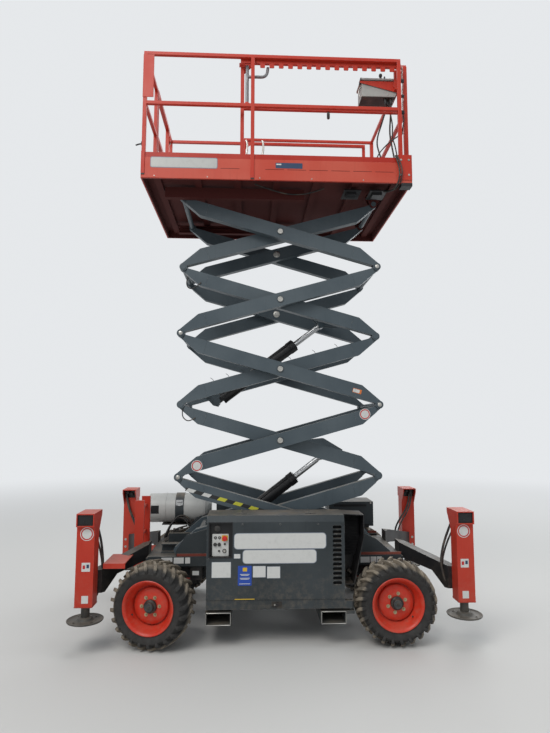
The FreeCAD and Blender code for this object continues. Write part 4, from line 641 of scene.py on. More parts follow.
def rim(end, word, side):
    """Dished rim with its flange, drop, disc and hub, six nuts and a valve."""
    name = "rim_%s_%s" % (end, word)
    body = "wheel_%s_%s" % (end, word)
    matrix = wheel_matrix(end, word, side)
    disc_out = 0.066
    hub = 0.053
    nut_circle = 0.075
    shell = [(0.193, -0.128), (0.21, -0.132), (0.212, -0.126), (0.196, -0.115), (0.192, -0.095),
        (0.18, -0.08), (0.18, 0.02), (0.192, 0.085), (0.196, 0.112), (0.209, 0.122), (0.214, 0.131),
        (0.209, 0.134), (0.193, 0.126), (0.187, 0.11), (0.178, 0.092), (0.166, 0.07), (0.157, 0.05),
        (0.154, 0.026), (0.144, 0.026), (0.143, 0.052), (0.139, 0.056), (0.112, disc_out - 0.004),
        (0.1, disc_out), (0.05, disc_out), (0.05, disc_out - 0.012), (0.1, disc_out - 0.012),
        (0.138, 0.038), (0.14, 0.016), (0.168, 0.016), (0.172, -0.078), (0.184, -0.1), (0.185, -0.126),
        (0.193, -0.128)]
    turned(shell, matrix, 96)
    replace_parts(made(name + "_dished", body, SIGNAL, sharp=50, merge=1e-5), name)
    turned([(0, -0.04), (hub, -0.04), (hub, 0.084), (0.049, 0.089), (0.04, 0.092), (0.037, 0.102),
        (0.034, 0.106), (0, 0.106)], matrix, 40)
    made("hub_%s_%s" % (end, word), body, BLACK, edge=0.0015)
    turned([(0, 0.106), (0.018, 0.106), (0.018, 0.11), (0.012, 0.113), (0.012, 0.117), (0, 0.118)], matrix,
        20)
    made("hub_cap_%s_%s" % (end, word), body, BLACK)
    out = matrix.to_3x3() @ Vector((0, 0, 1))
    for index in range(6):
        a = radians(60 * index + (2 if end == "steer" else 19))
        spot = matrix @ Vector((nut_circle * cos(a), nut_circle * sin(a), disc_out - 0.001))
        turned([(0, 0), (0.0105, 0), (0.01, 0.003), (0, 0.003)], frame_at(spot, out), 16)
        bolt(spot + out * 0.001, out, 0.0155, a)
        turned([(0, 0.012), (0.0055, 0.012), (0.0055, 0.021), (0, 0.022)], frame_at(spot, out), 12)
    made("wheel_nuts_%s_%s" % (end, word), body, NUT)
    a = radians(-40 if end == "drive" else 205)
    foot = matrix @ Vector((0.168 * cos(a), 0.168 * sin(a), 0.072))
    tip = matrix @ Vector((0.152 * cos(a), 0.152 * sin(a), 0.098))
    turned([(0, -0.004), (0.008, -0.004), (0.006, 0.008), (0.0045, 0.01), (0.0045, 0.03), (0, 0.031)],
        frame_at(foot, tip - foot), 14)
    made("valve_%s_%s" % (end, word), body, GRIP)


for end in ENDS:
    for word, side in SIDES:
        tyre(end, word, side)
        rim(end, word, side)


# Labels, plates and small parts

PRINT = 0.0007
NEAR = (0, -1, 0)
FAR = (0, 1, 0)


def plate(name, body, matrix, width, height, material, radius=0.004, depth=PRINT):
    """Blank plate in the matrix's XY plane, centred on its origin and standing out along its Z."""
    prism(rounded(width, height, radius), matrix, depth)
    made(name, body, material)


def label(name, body, low, high, y, material, radius=0.004, depth=PRINT):
    """Blank plate on a face that looks along -Y. low and high are corners (x, z)."""
    matrix = frame_at(((low[0] + high[0]) / 2, y, (low[1] + high[1]) / 2), NEAR)
    plate(name, body, matrix, high[0] - low[0], high[1] - low[1], material, radius, depth)


def ringed_sign(name, body, matrix, radius):
    """Round white plate with a red rim and nothing inside."""
    prism(circle(radius), matrix, PRINT)
    made(name + "_disc", body, WHITE)
    turned([(radius * 0.72, PRINT), (radius * 0.89, PRINT), (radius * 0.89, 2 * PRINT),
        (radius * 0.72, 2 * PRINT), (radius * 0.72, PRINT)], matrix, 40)
    made(name + "_rim", body, RED, merge=1e-6)


def hose(name, body, points, diameter):
    """Hose on one smooth line along its route."""
    line = bpy.data.curves.new(name, "CURVE")
    line.dimensions = "3D"
    spline = line.splines.new("NURBS")
    spline.points.add(len(points) - 1)
    for point, spot in zip(spline.points, points):
        point.co = (*spot, 1)
    spline.order_u = 3
    spline.use_endpoint_u = True
    spline.resolution_u = 8
    line.bevel_depth = diameter / 2
    line.bevel_resolution = 3
    line.use_fill_caps = True
    line.materials.append(HOSE)
    piece = bpy.data.objects.new(name, line)
    bpy.context.scene.collection.objects.link(piece)
    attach(piece, body)


def fitting(origin, axis, radius):
    """Crimped hose end with its hexagon nut."""
    matrix = frame_at(origin, axis)
    hexagon = [(radius * 1.5 * cos(i * pi / 3), radius * 1.5 * sin(i * pi / 3)) for i in range(6)]
    prism(hexagon, matrix, radius * 1.6)
    turned([(0, radius * 1.6), (radius * 1.25, radius * 1.6), (radius * 1.25, radius * 4.4),
        (radius * 1.05, radius * 4.8), (0, radius * 4.8)], matrix, 18)


def knob(origin, axis, radius, height, lip=0.0):
    """Round button or knob with a softened rim and, with lip, a wider foot."""
    profile = [(0, 0), (radius + lip, 0), (radius + lip, height * 0.25), (radius, height * 0.3),
        (radius, height * 0.85), (radius * 0.86, height), (0, height)]
    turned(profile, frame_at(origin, axis), 28)


# Near side tray

TRAY_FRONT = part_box("near_tray_cover")[0].y
PANEL_LOW = (-0.557, 0.713)
PANEL_HIGH = (-0.376, 0.984)
PANEL_FLOOR = TRAY_FRONT + 0.028


def control_panel():
    """Ground controls in the tray's recess: black liner, pale plate, buttons, knobs and a key."""
    skin = 0.002
    x0, z0 = PANEL_LOW
    x1, z1 = PANEL_HIGH
    block((x0, PANEL_FLOOR - skin, z0), (x1, PANEL_FLOOR, z1))
    for low, high in (((x0, z0), (x0 + skin, z1)), ((x1 - skin, z0), (x1, z1)), ((x0, z0), (x1, z0 + skin)),
            ((x0, z1 - skin), (x1, z1))):
        block((low[0], TRAY_FRONT - 0.001, low[1]), (high[0], PANEL_FLOOR, high[1]))
    rim = 0.007
    for low, high in (((x0 - rim, z0 - rim), (x0, z1 + rim)), ((x1, z0 - rim), (x1 + rim, z1 + rim)),
            ((x0, z0 - rim), (x1, z0)), ((x0, z1), (x1, z1 + rim))):
        block((low[0], TRAY_FRONT - 0.002, low[1]), (high[0], TRAY_FRONT, high[1]))
    made("panel_liner", "near_tray", DARK_PAINT)
    face = PANEL_FLOOR - skin - 0.003
    label("panel_plate", "near_tray", (-0.535, 0.717), (-0.402, 0.894), PANEL_FLOOR - skin, PANEL_WHITE,
        radius=0.005, depth=0.003)
    knob((-0.494, PANEL_FLOOR - skin, 0.938), NEAR, 0.024, 0.014, 0.003)
    for x, z in ((-0.512, 0.81), (-0.479, 0.81)):
        knob((x, face, z), NEAR, 0.0125, 0.016, 0.002)
        block((x - 0.002, face - 0.0185, z - 0.01), (x + 0.002, face - 0.015, z + 0.01))
    for x, z in ((-0.4335, 0.813), (-0.479, 0.759)):
        knob((x, face, z), NEAR, 0.0065, 0.01, 0.002)
    for x, z in ((-0.51, 0.864), (-0.477, 0.864)):
        turned([(0.0055, 0.001), (0.0055, 0.005), (0.0085, 0.006), (0.0115, 0.004), (0.0115, 0)],
            frame_at((x, face, z), NEAR), 24)
    turned([(0.01, 0.002), (0.01, 0.006), (0.014, 0.007), (0.0165, 0.005), (0.0165, 0)],
        frame_at((-0.436, face, 0.759), NEAR), 28)
    made("panel_knobs", "near_tray", GRIP, edge=0.0006)
    turned([(0, 0.004), (0.01, 0.004), (0.01, 0), (0, 0)], frame_at((-0.436, face, 0.759), NEAR), 24)
    block((-0.4375, face - 0.026, 0.753), (-0.4345, face - 0.004, 0.765))
    disc((-0.4345, face - 0.03, 0.759), (-1, 0, 0), 0.01, 0.003, 20)
    for x in (-0.53, -0.407):
        for z in (0.722, 0.889):
            turned([(0, 0), (0.0032, 0), (0.003, 0.0012), (0.0016, 0.0018), (0, 0.0018)],
                frame_at((x, face, z), NEAR), 12)
    made("panel_key_and_screws", "near_tray", STEEL)
    prism(rounded(0.05, 0.046, 0.006), frame_at((-0.434, face, 0.86), NEAR), 0.002)
    made("panel_stop_plate", "near_tray", YELLOW)
    turned([(0, 0.002), (0.01, 0.002), (0.011, 0.012), (0.0205, 0.014), (0.0215, 0.018), (0.02, 0.022),
        (0.013, 0.0245), (0, 0.0255)], frame_at((-0.434, face, 0.86), NEAR), 32)
    made("panel_stop_button", "near_tray", SIGNAL_RED)


def tray_plates():
    """Blank plates and sheets on the front of the near tray."""
    y = TRAY_FRONT
    plates = (
        ("plate_wide", (-0.359, 0.774), (0.399, 0.904), 0.005, 0.03, 0.025),
        ("plate_second", (-0.288, 0.659), (0.319, 0.772), 0.005, 0.03, 0.025),
        ("sheet_tag", (-0.358, 0.702), (-0.304, 0.74), 0.0025, 0.003, 0.002),
        ("sheet_square", (-0.537, 0.552), (-0.38, 0.677), 0.0025, 0.003, 0.002),
        ("sheet_pair_left", (-0.204, 0.552), (-0.098, 0.643), 0.0025, 0.003, 0.002),
        ("sheet_pair_right", (-0.089, 0.544), (0.02, 0.638), 0.0025, 0.003, 0.002),
    )
    for name, low, high, inset, radius, inner_radius in plates:
        label("tray_%s_edge" % name, "near_tray", low, high, y, PLATE_EDGE, radius)
        label("tray_" + name, "near_tray", (low[0] + inset, low[1] + inset),
            (high[0] - inset, high[1] - inset), y - PRINT, WHITE, inner_radius)
    label("tray_sheet_blue", "near_tray", (-0.324, 0.49), (-0.213, 0.645), y, BLUE, radius=0.003)
    label("tray_sheet_yellow", "near_tray", (-0.285, 0.601), (-0.25, 0.631), y - PRINT, YELLOW,
        radius=0.003)
    for index, z in enumerate((0.578, 0.57, 0.548, 0.54, 0.504)):
        reach = (0.038, 0.03, 0.04, 0.034, 0.044)[index]
        label("tray_sheet_line_%d" % index, "near_tray", (-0.2685 - reach, z - 0.0022),
            (-0.2685 + reach, z + 0.0022), y - PRINT, WHITE, radius=0.001)
    label("tray_strip_yellow", "near_tray", (-0.349, 0.381), (-0.188, 0.387), y, YELLOW, radius=0.001)


def louvre_shade_sheet():
    """Near-black sheet behind the louvre slots: painted shade of the room that they look into."""
    block((0.44, TRAY_FRONT + 0.03, 0.478), (0.537, TRAY_FRONT + 0.033, 0.975))
    made("louvre_shade_sheet", "near_tray", INSIDE_SHADE, edge=0.001)


def slot_rims():
    """Rolled edge round each louvre slot."""
    for index in range(13):
        middle = 0.49 + 0.0369 * index + 0.013
        path = [Vector((0.4885 + x, TRAY_FRONT - 0.0002, middle + z))
            for x, z in rounded(0.077, 0.03, 0.0149, 6)]
        loop(path, 0.0016)
    made("louvre_rims", "near_tray", GREY)


def tray_latch():
    block((-0.045, TRAY_FRONT + 0.01, 0.3185), (0.031, TRAY_FRONT + 0.014, 0.3565))
    prism(rounded(0.084, 0.046, 0.004), frame_at((-0.007, TRAY_FRONT + 0.008, 0.3375), NEAR), 0.003)
    prism(rounded(0.052, 0.026, 0.004), frame_at((-0.007, TRAY_FRONT + 0.005, 0.3375), NEAR), 0.006)
    made("tray_latch", "near_tray", BLACK, edge=0.0015)
    disc((-0.025, TRAY_FRONT - 0.001, 0.3375), NEAR, 0.006, 0.003, 16)
    made("tray_lock", "near_tray", STEEL)


def tray_fasteners():
    """Bolts on the tray's front and hinges on its top."""
    for x in (-0.565, -0.29, 0.02, 0.33, 0.535):
        bolt((x, TRAY_FRONT + 0.0005, 1.002 - 0.03), NEAR, 0.01, x)
    for z in (0.4, 0.7):
        bolt((-0.56, TRAY_FRONT, z), NEAR, 0.012, z)
    made("tray_bolts", "near_tray", GREY)
    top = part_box("near_tray_cover")[1].z
    for x in (-0.3, 0.28):
        block((x - 0.045, -0.7, top), (x + 0.045, -0.5, top + 0.003))
        block((x - 0.004, -0.71, top), (x + 0.004, -0.485, top + 0.007))
    made("tray_top_hinges", "near_tray", GREY, edge=0.001)


def duct_core():
    """Radiator core with its fins inside the duct, near-black as painted shade deep in the duct, and the exhaust
    stub below.
    """
    low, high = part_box("radiator_duct")
    back = high.y - 0.02
    # Painted shade: the core and its fins are near-black.
    block((low.x + 0.012, back - 0.03, low.z + 0.2), (high.x - 0.014, back, high.z - 0.03))
    made("duct_core", "near_tray", INSIDE_SHADE, edge=0.001)
    for index in range(24):
        z = low.z + 0.21 + 0.0135 * index
        block((low.x + 0.014, back - 0.036, z), (high.x - 0.016, back - 0.03, z + 0.002))
    made("duct_fins", "near_tray", INSIDE_SHADE)
    route = smooth_path([(0.62, -0.53, 0.54), (0.645, -0.53, 0.512), (0.675, -0.531, 0.48),
        (0.72, -0.534, 0.434)])
    tube(route, 0.018, 20)
    tube(smooth_path([(0.646, -0.53, 0.511), (0.652, -0.53, 0.505)], 2), 0.023, 20)
    made("exhaust_stub", "near_tray", BURNT, edge=0.001)


control_panel()
tray_plates()
louvre_shade_sheet()
slot_rims()
tray_latch()
tray_fasteners()
duct_core()


# Outriggers and chassis

CASE_X = 1.53
CASE_Y = 0.805
CASE_FRONT = 0.87


def case_sheets(name, x):
    """Blank sign and sheets on the front of a near case."""
    front = -CASE_FRONT
    ringed_sign("case_sign_" + name, "chassis", frame_at((x, front, 0.92), NEAR), 0.053)
    for word, z, width, height in (("upper", 0.665, 0.066, 0.068), ("lower", 0.418, 0.052, 0.058)):
        plate("case_sheet_%s_%s" % (word, name), "chassis", frame_at((x, front, z), NEAR), width, height,
            WHITE, radius=0.002)
    for dx, cell, tone in ((-0.015, "patch", RED), (0.015, "second_patch", NAVY)):
        matrix = frame_at((x + dx, front - PRINT, 0.668 + dx * 0.2), NEAR)
        plate("case_%s_%s" % (cell, name), "chassis", matrix, 0.02, 0.028, tone, radius=0.001)


def outrigger_details(side_word, side, end_word, end):
    """Black valve block in the cap's mouth, blank signs, bolts, welds and the sliding leg."""
    name = "%s_%s" % (side_word, end_word)
    x = end * CASE_X
    side_block(side, (x - 0.0615, 0.752, 0.9865), (x + 0.0615, 0.884, 1.0715))
    side_block(side, (x - 0.05, 0.884, 0.996), (x + 0.05, 0.889, 1.062))
    knob((x - 0.014, side * 0.889, 1.012), (0, side, 0), 0.007, 0.006)
    knob((x + 0.03, side * 0.889, 1.046), (0, side, 0), 0.005, 0.004)
    inner = (0, -side, 0)
    fitting((x - 0.022, side * 0.752, 1.048), inner, 0.012)
    fitting((x + 0.02, side * 0.752, 1.03), inner, 0.012)
    turned([(0, 0), (0.02, 0), (0.02, 0.03), (0.017, 0.034), (0, 0.034)],
        frame_at((x + 0.034, side * 0.752, 1.052), inner), 20)
    made("valve_block_" + name, "chassis", BLACK, edge=0.0015)
    if side < 0:
        case_sheets(name, x - end * 0.01)
    ring = [(0.0715, 0.0668), (-0.0715, 0.0668), (-0.0715, -0.0668), (0.0715, -0.0668)]
    path = [Vector((x + dx, side * CASE_Y + dy, 0.362)) for dx, dy in ring]
    loop(path, 0.0022, 8)
    made("case_foot_weld_" + name, "chassis", ORANGE)
    for z in (0.47, 0.545):
        for dx in (-0.04, 0.04):
            bolt((x + dx, side * 0.74, z), inner, 0.013, z)
    for z in (0.415, 0.52):
        bolt((x + end * 0.07, side * 0.79, z), (end, 0, 0), 0.013, z)
    made("case_bolts_" + name, "chassis", STEEL)
    outrigger_leg(name, x, side)


def outrigger_leg(name, x, side):
    """Square inner tube, the narrower stem below it and a dished pad on a ball."""
    body = "outrigger_leg_" + name
    foot = Matrix.Translation((x, side * CASE_Y, 0))
    half = 0.0612
    block((x - half, side * CASE_Y - half, 0.366), (x + half, side * CASE_Y + half, 0.94))
    turned([(0, 0.372), (0.052, 0.372), (0.052, 0.352), (0.046, 0.346), (0.034, 0.346), (0.034, 0.272),
        (0.03, 0.266), (0.03, 0.258), (0, 0.258)], foot, 32)
    turned([(0, 0.236), (0.128, 0.236), (0.136, 0.239), (0.1418, 0.246), (0.1418, 0.2515), (0.1365, 0.254),
        (0.131, 0.249), (0.11, 0.244), (0.074, 0.245), (0.062, 0.252), (0.058, 0.262), (0.048, 0.268),
        (0.036, 0.27), (0, 0.27)], foot, 56)
    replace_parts(made("leg_turned_" + name, body, PAD_GREY, edge=0.002), body)
    for turn in range(4):
        a = pi / 4 + turn * pi / 2
        bolt((x + 0.098 * cos(a), side * CASE_Y + 0.098 * sin(a), 0.2435), (0, 0, 1), 0.012, a)
    made("pad_bolts_" + name, body, PAD_GREY)


def outrigger_hoses():
    """Pairs of hoses from each cap to the chassis."""
    routes = (
        ("near_left", ((-1.515, -0.722, 1.052), (-1.462, -0.7, 0.9), (-1.43, -0.7, 0.69),
            (-1.432, -0.7, 0.552), (-1.47, -0.715, 0.405)), 0.02),
        ("near_left_2", ((-1.568, -0.728, 1.052), (-1.5, -0.69, 0.9), (-1.448, -0.672, 0.69),
            (-1.44, -0.672, 0.56), (-1.452, -0.69, 0.48)), 0.016),
        ("near_right", ((1.515, -0.722, 1.052), (1.45, -0.7, 0.9), (1.39, -0.7, 0.72), (1.38, -0.705, 0.59),
            (1.412, -0.712, 0.48)), 0.02),
        ("near_right_2", ((1.568, -0.728, 1.052), (1.48, -0.69, 0.88), (1.415, -0.672, 0.7),
            (1.398, -0.68, 0.59), (1.425, -0.69, 0.49)), 0.016),
        ("far_left", ((-1.572, 0.728, 1.052), (-1.552, 0.712, 0.915), (-1.485, 0.7, 0.765),
            (-1.43, 0.69, 0.64), (-1.4, 0.68, 0.56)), 0.024),
        ("far_right", ((1.545, 0.728, 1.052), (1.53, 0.702, 0.89), (1.4, 0.7, 0.72), (1.352, 0.69, 0.59),
            (1.412, 0.69, 0.46)), 0.02),
        ("far_right_2", ((1.57, 0.728, 1.052), (1.55, 0.69, 0.89), (1.425, 0.68, 0.71), (1.378, 0.67, 0.59),
            (1.422, 0.672, 0.47)), 0.016),
    )
    for name, points, diameter in routes:
        hose("outrigger_hose_" + name, "chassis", points, diameter)


RAIL_LIP = 0.44
RAIL_BACK = 0.4665
RAIL_FACE = 0.474
RAIL_LOW = 0.562
RAIL_TOP = 0.646


def chassis_rails():
    """Folded rails along both sides of the chassis, in front of the trough plates' feet."""
    for side_word, side in SIDES:
        for x0, x1 in ((-1.11, -0.56), (0.6, 1.11)):
            side_block(side, (x0, RAIL_BACK, RAIL_LOW), (x1, RAIL_FACE, RAIL_TOP))
            for start, end in ((x0, -0.874), (1.016, x1)):
                if start < end:
                    side_block(side, (start, RAIL_LIP, RAIL_TOP - 0.006), (end, RAIL_BACK, RAIL_TOP))
            side_block(side, (x0, RAIL_LIP, RAIL_LOW), (x1, RAIL_BACK, RAIL_LOW + 0.003))
        made("side_rail_" + side_word, "chassis", GREY, edge=0.002)


def chassis_labels():
    sheets = ((-0.992, -0.898, 0.587), (-0.886, -0.8, 0.587), (-0.788, -0.745, 0.587),
        (0.745, 0.826, 0.579), (0.834, 0.886, 0.579), (0.892, 0.933, 0.579))
    for index, (x0, x1, z0) in enumerate(sheets):
        label("rail_sheet_%d" % index, "chassis", (x0, z0), (x1, z0 + 0.05), -RAIL_FACE, WHITE,
            radius=0.002)
    for index, (x, z) in enumerate(((-0.925, 0.606), (0.91, 0.6))):
        disc((x, -RAIL_FACE - PRINT, z), NEAR, 0.01, PRINT, 20)
        made("rail_sheet_dot_%d" % index, "chassis", INK)


def chassis_strips():
    """Red primed bars along the top of the side rails, and a bolt at each end of the rails."""
    for name, x0, x1 in (("left", -0.862, -0.56), ("right", 0.64, 1.108)):
        for side_word, side in SIDES:
            side_block(side, (x0, 0.4662, RAIL_TOP), (x1, 0.4735, RAIL_TOP + 0.022))
            made("top_bar_%s_%s" % (name, side_word), "chassis", PRIMER, edge=0.0012)
    for side in (-1, 1):
        for x in (-1.085, 1.08):
            bolt((x, side * RAIL_FACE, 0.604), (0, side, 0), 0.014, x)
    made("rail_bolts", "chassis", GREY)


def chassis_hoses():
    """Hoses in the open bay at the steered end."""
    routes = (
        ("bay_1", ((-1.105, 0.425, 0.59), (-1.06, 0.445, 0.74), (-0.965, 0.484, 0.85), (-0.86, 0.48, 0.815),
            (-0.815, 0.48, 0.72)), 0.02),
        ("bay_2", ((-1.115, 0.405, 0.588), (-1.075, 0.425, 0.72), (-0.985, 0.484, 0.825),
            (-0.885, 0.478, 0.795), (-0.845, 0.479, 0.69)), 0.018),
        ("shelf_1", ((-0.878, 0.462, 0.735), (-0.985, 0.466, 0.715), (-1.045, 0.33, 0.655),
            (-1.085, 0.23, 0.62)), 0.018),
        ("shelf_2", ((-0.87, 0.462, 0.712), (-0.995, 0.466, 0.68), (-1.036, 0.31, 0.65),
            (-1.06, 0.205, 0.625)), 0.018),
    )
    for name, points, diameter in routes:
        hose("chassis_hose_" + name, "chassis", points, diameter)


def bay_box():
    """Small black junction box with a blank tag behind the steered wheel, and its bracket."""
    block((-0.735, -0.462, 0.47), (-0.65, -0.4, 0.56))
    block((-0.745, -0.455, 0.44), (-0.64, -0.449, 0.575))
    for z in (0.488, 0.515, 0.542):
        turned([(0, 0), (0.008, 0), (0.008, 0.014), (0.006, 0.018), (0, 0.018)],
            frame_at((-0.65, -0.431, z), (1, 0, 0)), 14)
    made("bay_box", "chassis", BLACK, edge=0.002)
    label("bay_box_tag", "chassis", (-0.725, 0.485), (-0.668, 0.52), -0.462, WHITE, radius=0.002)


def tank_details():
    """Strap with its buckle round the gas tank, its seams, valve, handwheel and a near-black liner in the collar,
    painted shade.
    """
    middle = Vector((-0.86, 0.622, 0.897))
    radius = 0.152
    left, right = -1.01, -0.922
    scale = (radius + 0.0045) / radius
    rings = []
    for index in range(49):
        a = radians(-62 + 304 * index / 48)
        y, z = (radius + 0.0005) * cos(a), (radius + 0.0005) * sin(a)
        rings.append([shape.verts.new((x, middle.y + y * k, middle.z + z * k))
            for x, k in ((left, 1), (right, 1), (right, scale), (left, scale))])
    joined(rings)
    made("tank_strap", "chassis", GREY)
    lean = Matrix.Rotation(radians(-26), 4, "X")
    buckle = Matrix.Translation(((left + right) / 2, middle.y, middle.z)) @ lean @ Matrix.Translation((0,
        -0.1565, 0)) @ Matrix.Rotation(radians(90), 4, "X")
    prism(rounded(0.072, 0.06, 0.006), buckle, 0.006)
    prism(rounded(0.05, 0.02, 0.004), buckle @ Matrix.Translation((0, 0.01, 0.006)), 0.008)
    prism(rounded(0.034, 0.05, 0.004), buckle @ Matrix.Translation((0, -0.012, 0.006)), 0.003)
    made("tank_buckle", "chassis", PIPE, edge=0.001)
    for x, grow in ((-1.112, 0.0018), (-0.722, 0.0012)):
        ring = circle(radius + grow * 0.2, 64)
        loop([Vector((x, middle.y + y, middle.z + z)) for y, z in ring], 0.0026, 8)
    made("tank_seams", "chassis", PALE)
    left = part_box("gas_tank")[0].x
    turned([(0, 0), (0.024, 0), (0.024, 0.03), (0.017, 0.036), (0.017, 0.066), (0, 0.066)],
        frame_at((left + 0.155, middle.y, middle.z), (-1, 0, 0)), 24)
    disc((left + 0.115, middle.y, middle.z), NEAR, 0.013, 0.042, 18)
    made("tank_valve", "chassis", BRASS)
    turned([(0, 0), (0.026, 0), (0.03, 0.006), (0.03, 0.012), (0.024, 0.018), (0, 0.018)],
        frame_at((left + 0.089, middle.y, middle.z), (-1, 0, 0)), 18)
    made("tank_handwheel", "chassis", GRIP)
    # Collar liner: near-black painted shade inside the collar.
    inner = radius - 0.006
    turned([(inner, left + 0.008), (inner, left + 0.165), (inner - 0.003, left + 0.165),
        (inner - 0.003, left + 0.008), (inner, left + 0.008)],
        Matrix.Translation((0, middle.y, middle.z)) @ Matrix.Rotation(radians(90), 4, "Y"), 48)
    made("tank_collar_shade_liner", "chassis", INSIDE_SHADE, merge=1e-6)


def far_box_details():
    """Slots as near-black strips of painted shade, and bolts on the far end box."""
    low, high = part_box("far_end_box")
    # Slots: near-black strips, painted shade of the openings.
    block((low.x + 0.05, low.y - 0.001, high.z - 0.048), (high.x - 0.075, low.y, high.z - 0.026))
    block((high.x - 0.12, low.y - 0.001, low.z + 0.05), (high.x - 0.05, low.y, low.z + 0.082))
    made("far_box_slot_shade", "chassis", INSIDE_SHADE)
    for x in (low.x + 0.03, high.x - 0.03):
        for z in (low.z + 0.03, high.z - 0.012):
            bolt((x, low.y, z), NEAR, 0.009, x)
    made("far_box_bolts", "chassis", STEEL)


POCKET_X = (-0.48, 0.455)
POCKET_Z = 0.2315
POCKET_FACE = 0.8005


def fork_pocket_edges():
    """Scraped bare edges of the fork pockets on both sides."""
    for side_word, side in SIDES:
        for index, x in enumerate(POCKET_X):
            path = [Vector((x + dx, side * POCKET_FACE, POCKET_Z + dz))
                for dx, dz in rounded(0.199, 0.093, 0.003, 1)]
            loop(path, 0.0024)
            made("pocket_edge_%s_%d" % (side_word, index), "chassis", STEEL)


def far_tray_details():
    """Slots as near-black plates of painted shade, handles and bolts on the far tray."""
    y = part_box("far_tray_cover")[1].y
    # Slots: near-black plates, painted shade of the openings.
    for index in range(9):
        z = 0.5 + 0.0369 * index
        matrix = frame_at((-0.4885, y, z), FAR)
        prism(rounded(0.073, 0.022, 0.008, 3), matrix, 0.0012)
    made("far_tray_slot_shade", "far_tray", INSIDE_SHADE)
    for x in (-0.24, 0.26):
        route = smooth_path([(x - 0.06, y - 0.002, 0.44), (x - 0.058, y + 0.03, 0.44),
            (x + 0.058, y + 0.03, 0.44), (x + 0.06, y - 0.002, 0.44)], 5)
        tube(route, 0.006, 10)
    made("far_tray_handles", "far_tray", BLACK)
    for x in (-0.56, 0.0, 0.55):
        for z in (0.36, 0.9):
            bolt((x, y, z), FAR, 0.012, x + z)
    made("far_tray_bolts", "far_tray", STEEL)


for side_word, side in SIDES:
    for end_word, end in (("left", -1), ("right", 1)):
        outrigger_details(side_word, side, end_word, end)
outrigger_hoses()
chassis_rails()
chassis_labels()
chassis_strips()
chassis_hoses()
bay_box()
tank_details()
far_box_details()
fork_pocket_edges()
far_tray_details()


# Scissor arms and lift cylinders

PIN_Z = 0.67
RISE = 0.6481
LEFT_X = -0.87
RIGHT_X = 0.95
CENTRE_X = 0.04
OUTER_FACE = 0.435
OUTER_BACK = 0.36
INNER_FACE = 0.34
INNER_BACK = 0.265
HEAD_TOP = 0.443
TUBE_SLOPE = radians(15.7)
TUBE_HALF = 0.0635
LEVELS = (1, 2, 3, 4, 5)
CYLINDER_AXIS = Vector((0.796792, 0, 0.604253))


def centre_z(level):
    """Height of the pin where a level's arms cross."""
    return PIN_Z + RISE * (level - 0.5)


def arm_body(level, kind):
    return "arm_%d_%s" % (level, kind)


def rises(level, kind):
    """True for an arm that climbs from its left joint to its right."""
    return (level % 2 == 0) == (kind == "outer")


def arm_face(level, kind, side, y):
    """Frame at an arm's centre pin: X along its tube, Y across it and upwards, Z outwards."""
    slope = TUBE_SLOPE if rises(level, kind) else -TUBE_SLOPE
    along = Vector((cos(slope), 0, sin(slope))) * (-side)
    up = Vector((-sin(slope), 0, cos(slope)))
    matrix = Matrix((along, up, Vector((0, side, 0)))).transposed().to_4x4()
    matrix.translation = Vector((CENTRE_X, side * y, centre_z(level)))
    return matrix


def pin_head(spot, side, radius):
    """Zinc cap of a pivot pin with its retaining plate's ring."""
    profile = [(0, 0.0035), (radius * 0.3, 0.0035), (radius * 0.36, 0.002), (radius * 0.66, 0.002),
        (radius * 0.72, 0.0042), (radius * 0.94, 0.0042), (radius, 0.003), (radius, 0), (0, 0)]
    turned(profile, frame_at(spot, (0, side, 0)), 32)


def pins():
    for level in LEVELS:
        for side_word, side in SIDES:
            z = centre_z(level)
            pin_head((CENTRE_X, side * (HEAD_TOP - 0.001), z), side, 0.0245)
            body = arm_body(level, "outer")
            climbs = rises(level, "outer")
            upper = (RIGHT_X if climbs else LEFT_X, side * (HEAD_TOP - 0.0005),
                PIN_Z + RISE * (level - 1) + RISE)
            turned([(0, 0.0035), (0.008, 0.0035), (0.01, 0.0022), (0.016, 0.0022), (0.019, 0), (0, 0)],
                frame_at(upper, (0, side, 0)), 24)
            made("pin_heads_%d_%s" % (level, side_word), body, STEEL)
    for level in LEVELS:
        for kind, y in (("outer", OUTER_BACK), ("inner", INNER_BACK)):
            if level == 1 and kind == "inner":
                continue
            z = centre_z(level)
            for side in (-1, 1):
                inner = (0, -side, 0)
                turned([(0, 0), (0.034, 0), (0.034, 0.006), (0.03, 0.008), (0, 0.008)],
                    frame_at((CENTRE_X, side * y, z), inner), 28)
                if kind == "inner":
                    bolt((CENTRE_X, side * (y - 0.008), z), inner, 0.022, level)
            made("pin_washers_%d_%s" % (level, kind), arm_body(level, kind), STEEL)


def tube_seams():
    """Weld beads where each tube meets its end plates, and round the pin bosses."""
    for level in LEVELS:
        for kind, y in (("outer", OUTER_FACE), ("inner", INNER_FACE)):
            body = arm_body(level, kind)
            for side in (-1, 1):
                face = arm_face(level, kind, side, y)
                for reach in (-0.712, 0.712):
                    low = face @ Vector((reach, -TUBE_HALF + 0.006, 0))
                    high = face @ Vector((reach, TUBE_HALF - 0.006, 0))
                    tube([low, high], 0.0018, 6)
                loop([face @ Vector((x, y, 0.0004)) for x, y in circle(0.0335, 28)], 0.0022)
            made("arm_welds_" + body, body, SKYLIT_ARM_GREY)


def wear_pads():
    """Nylon washers between crossing arms."""
    for level in LEVELS:
        z = centre_z(level)
        for side in (-1, 1):
            turned([(0.026, 0), (0.04, 0), (0.04, 0.016), (0.026, 0.016)],
                frame_at((CENTRE_X, side * 0.342, z), (0, side, 0)), 28)
        made("nylon_washers_%d" % level, arm_body(level, "outer"), NYLON)


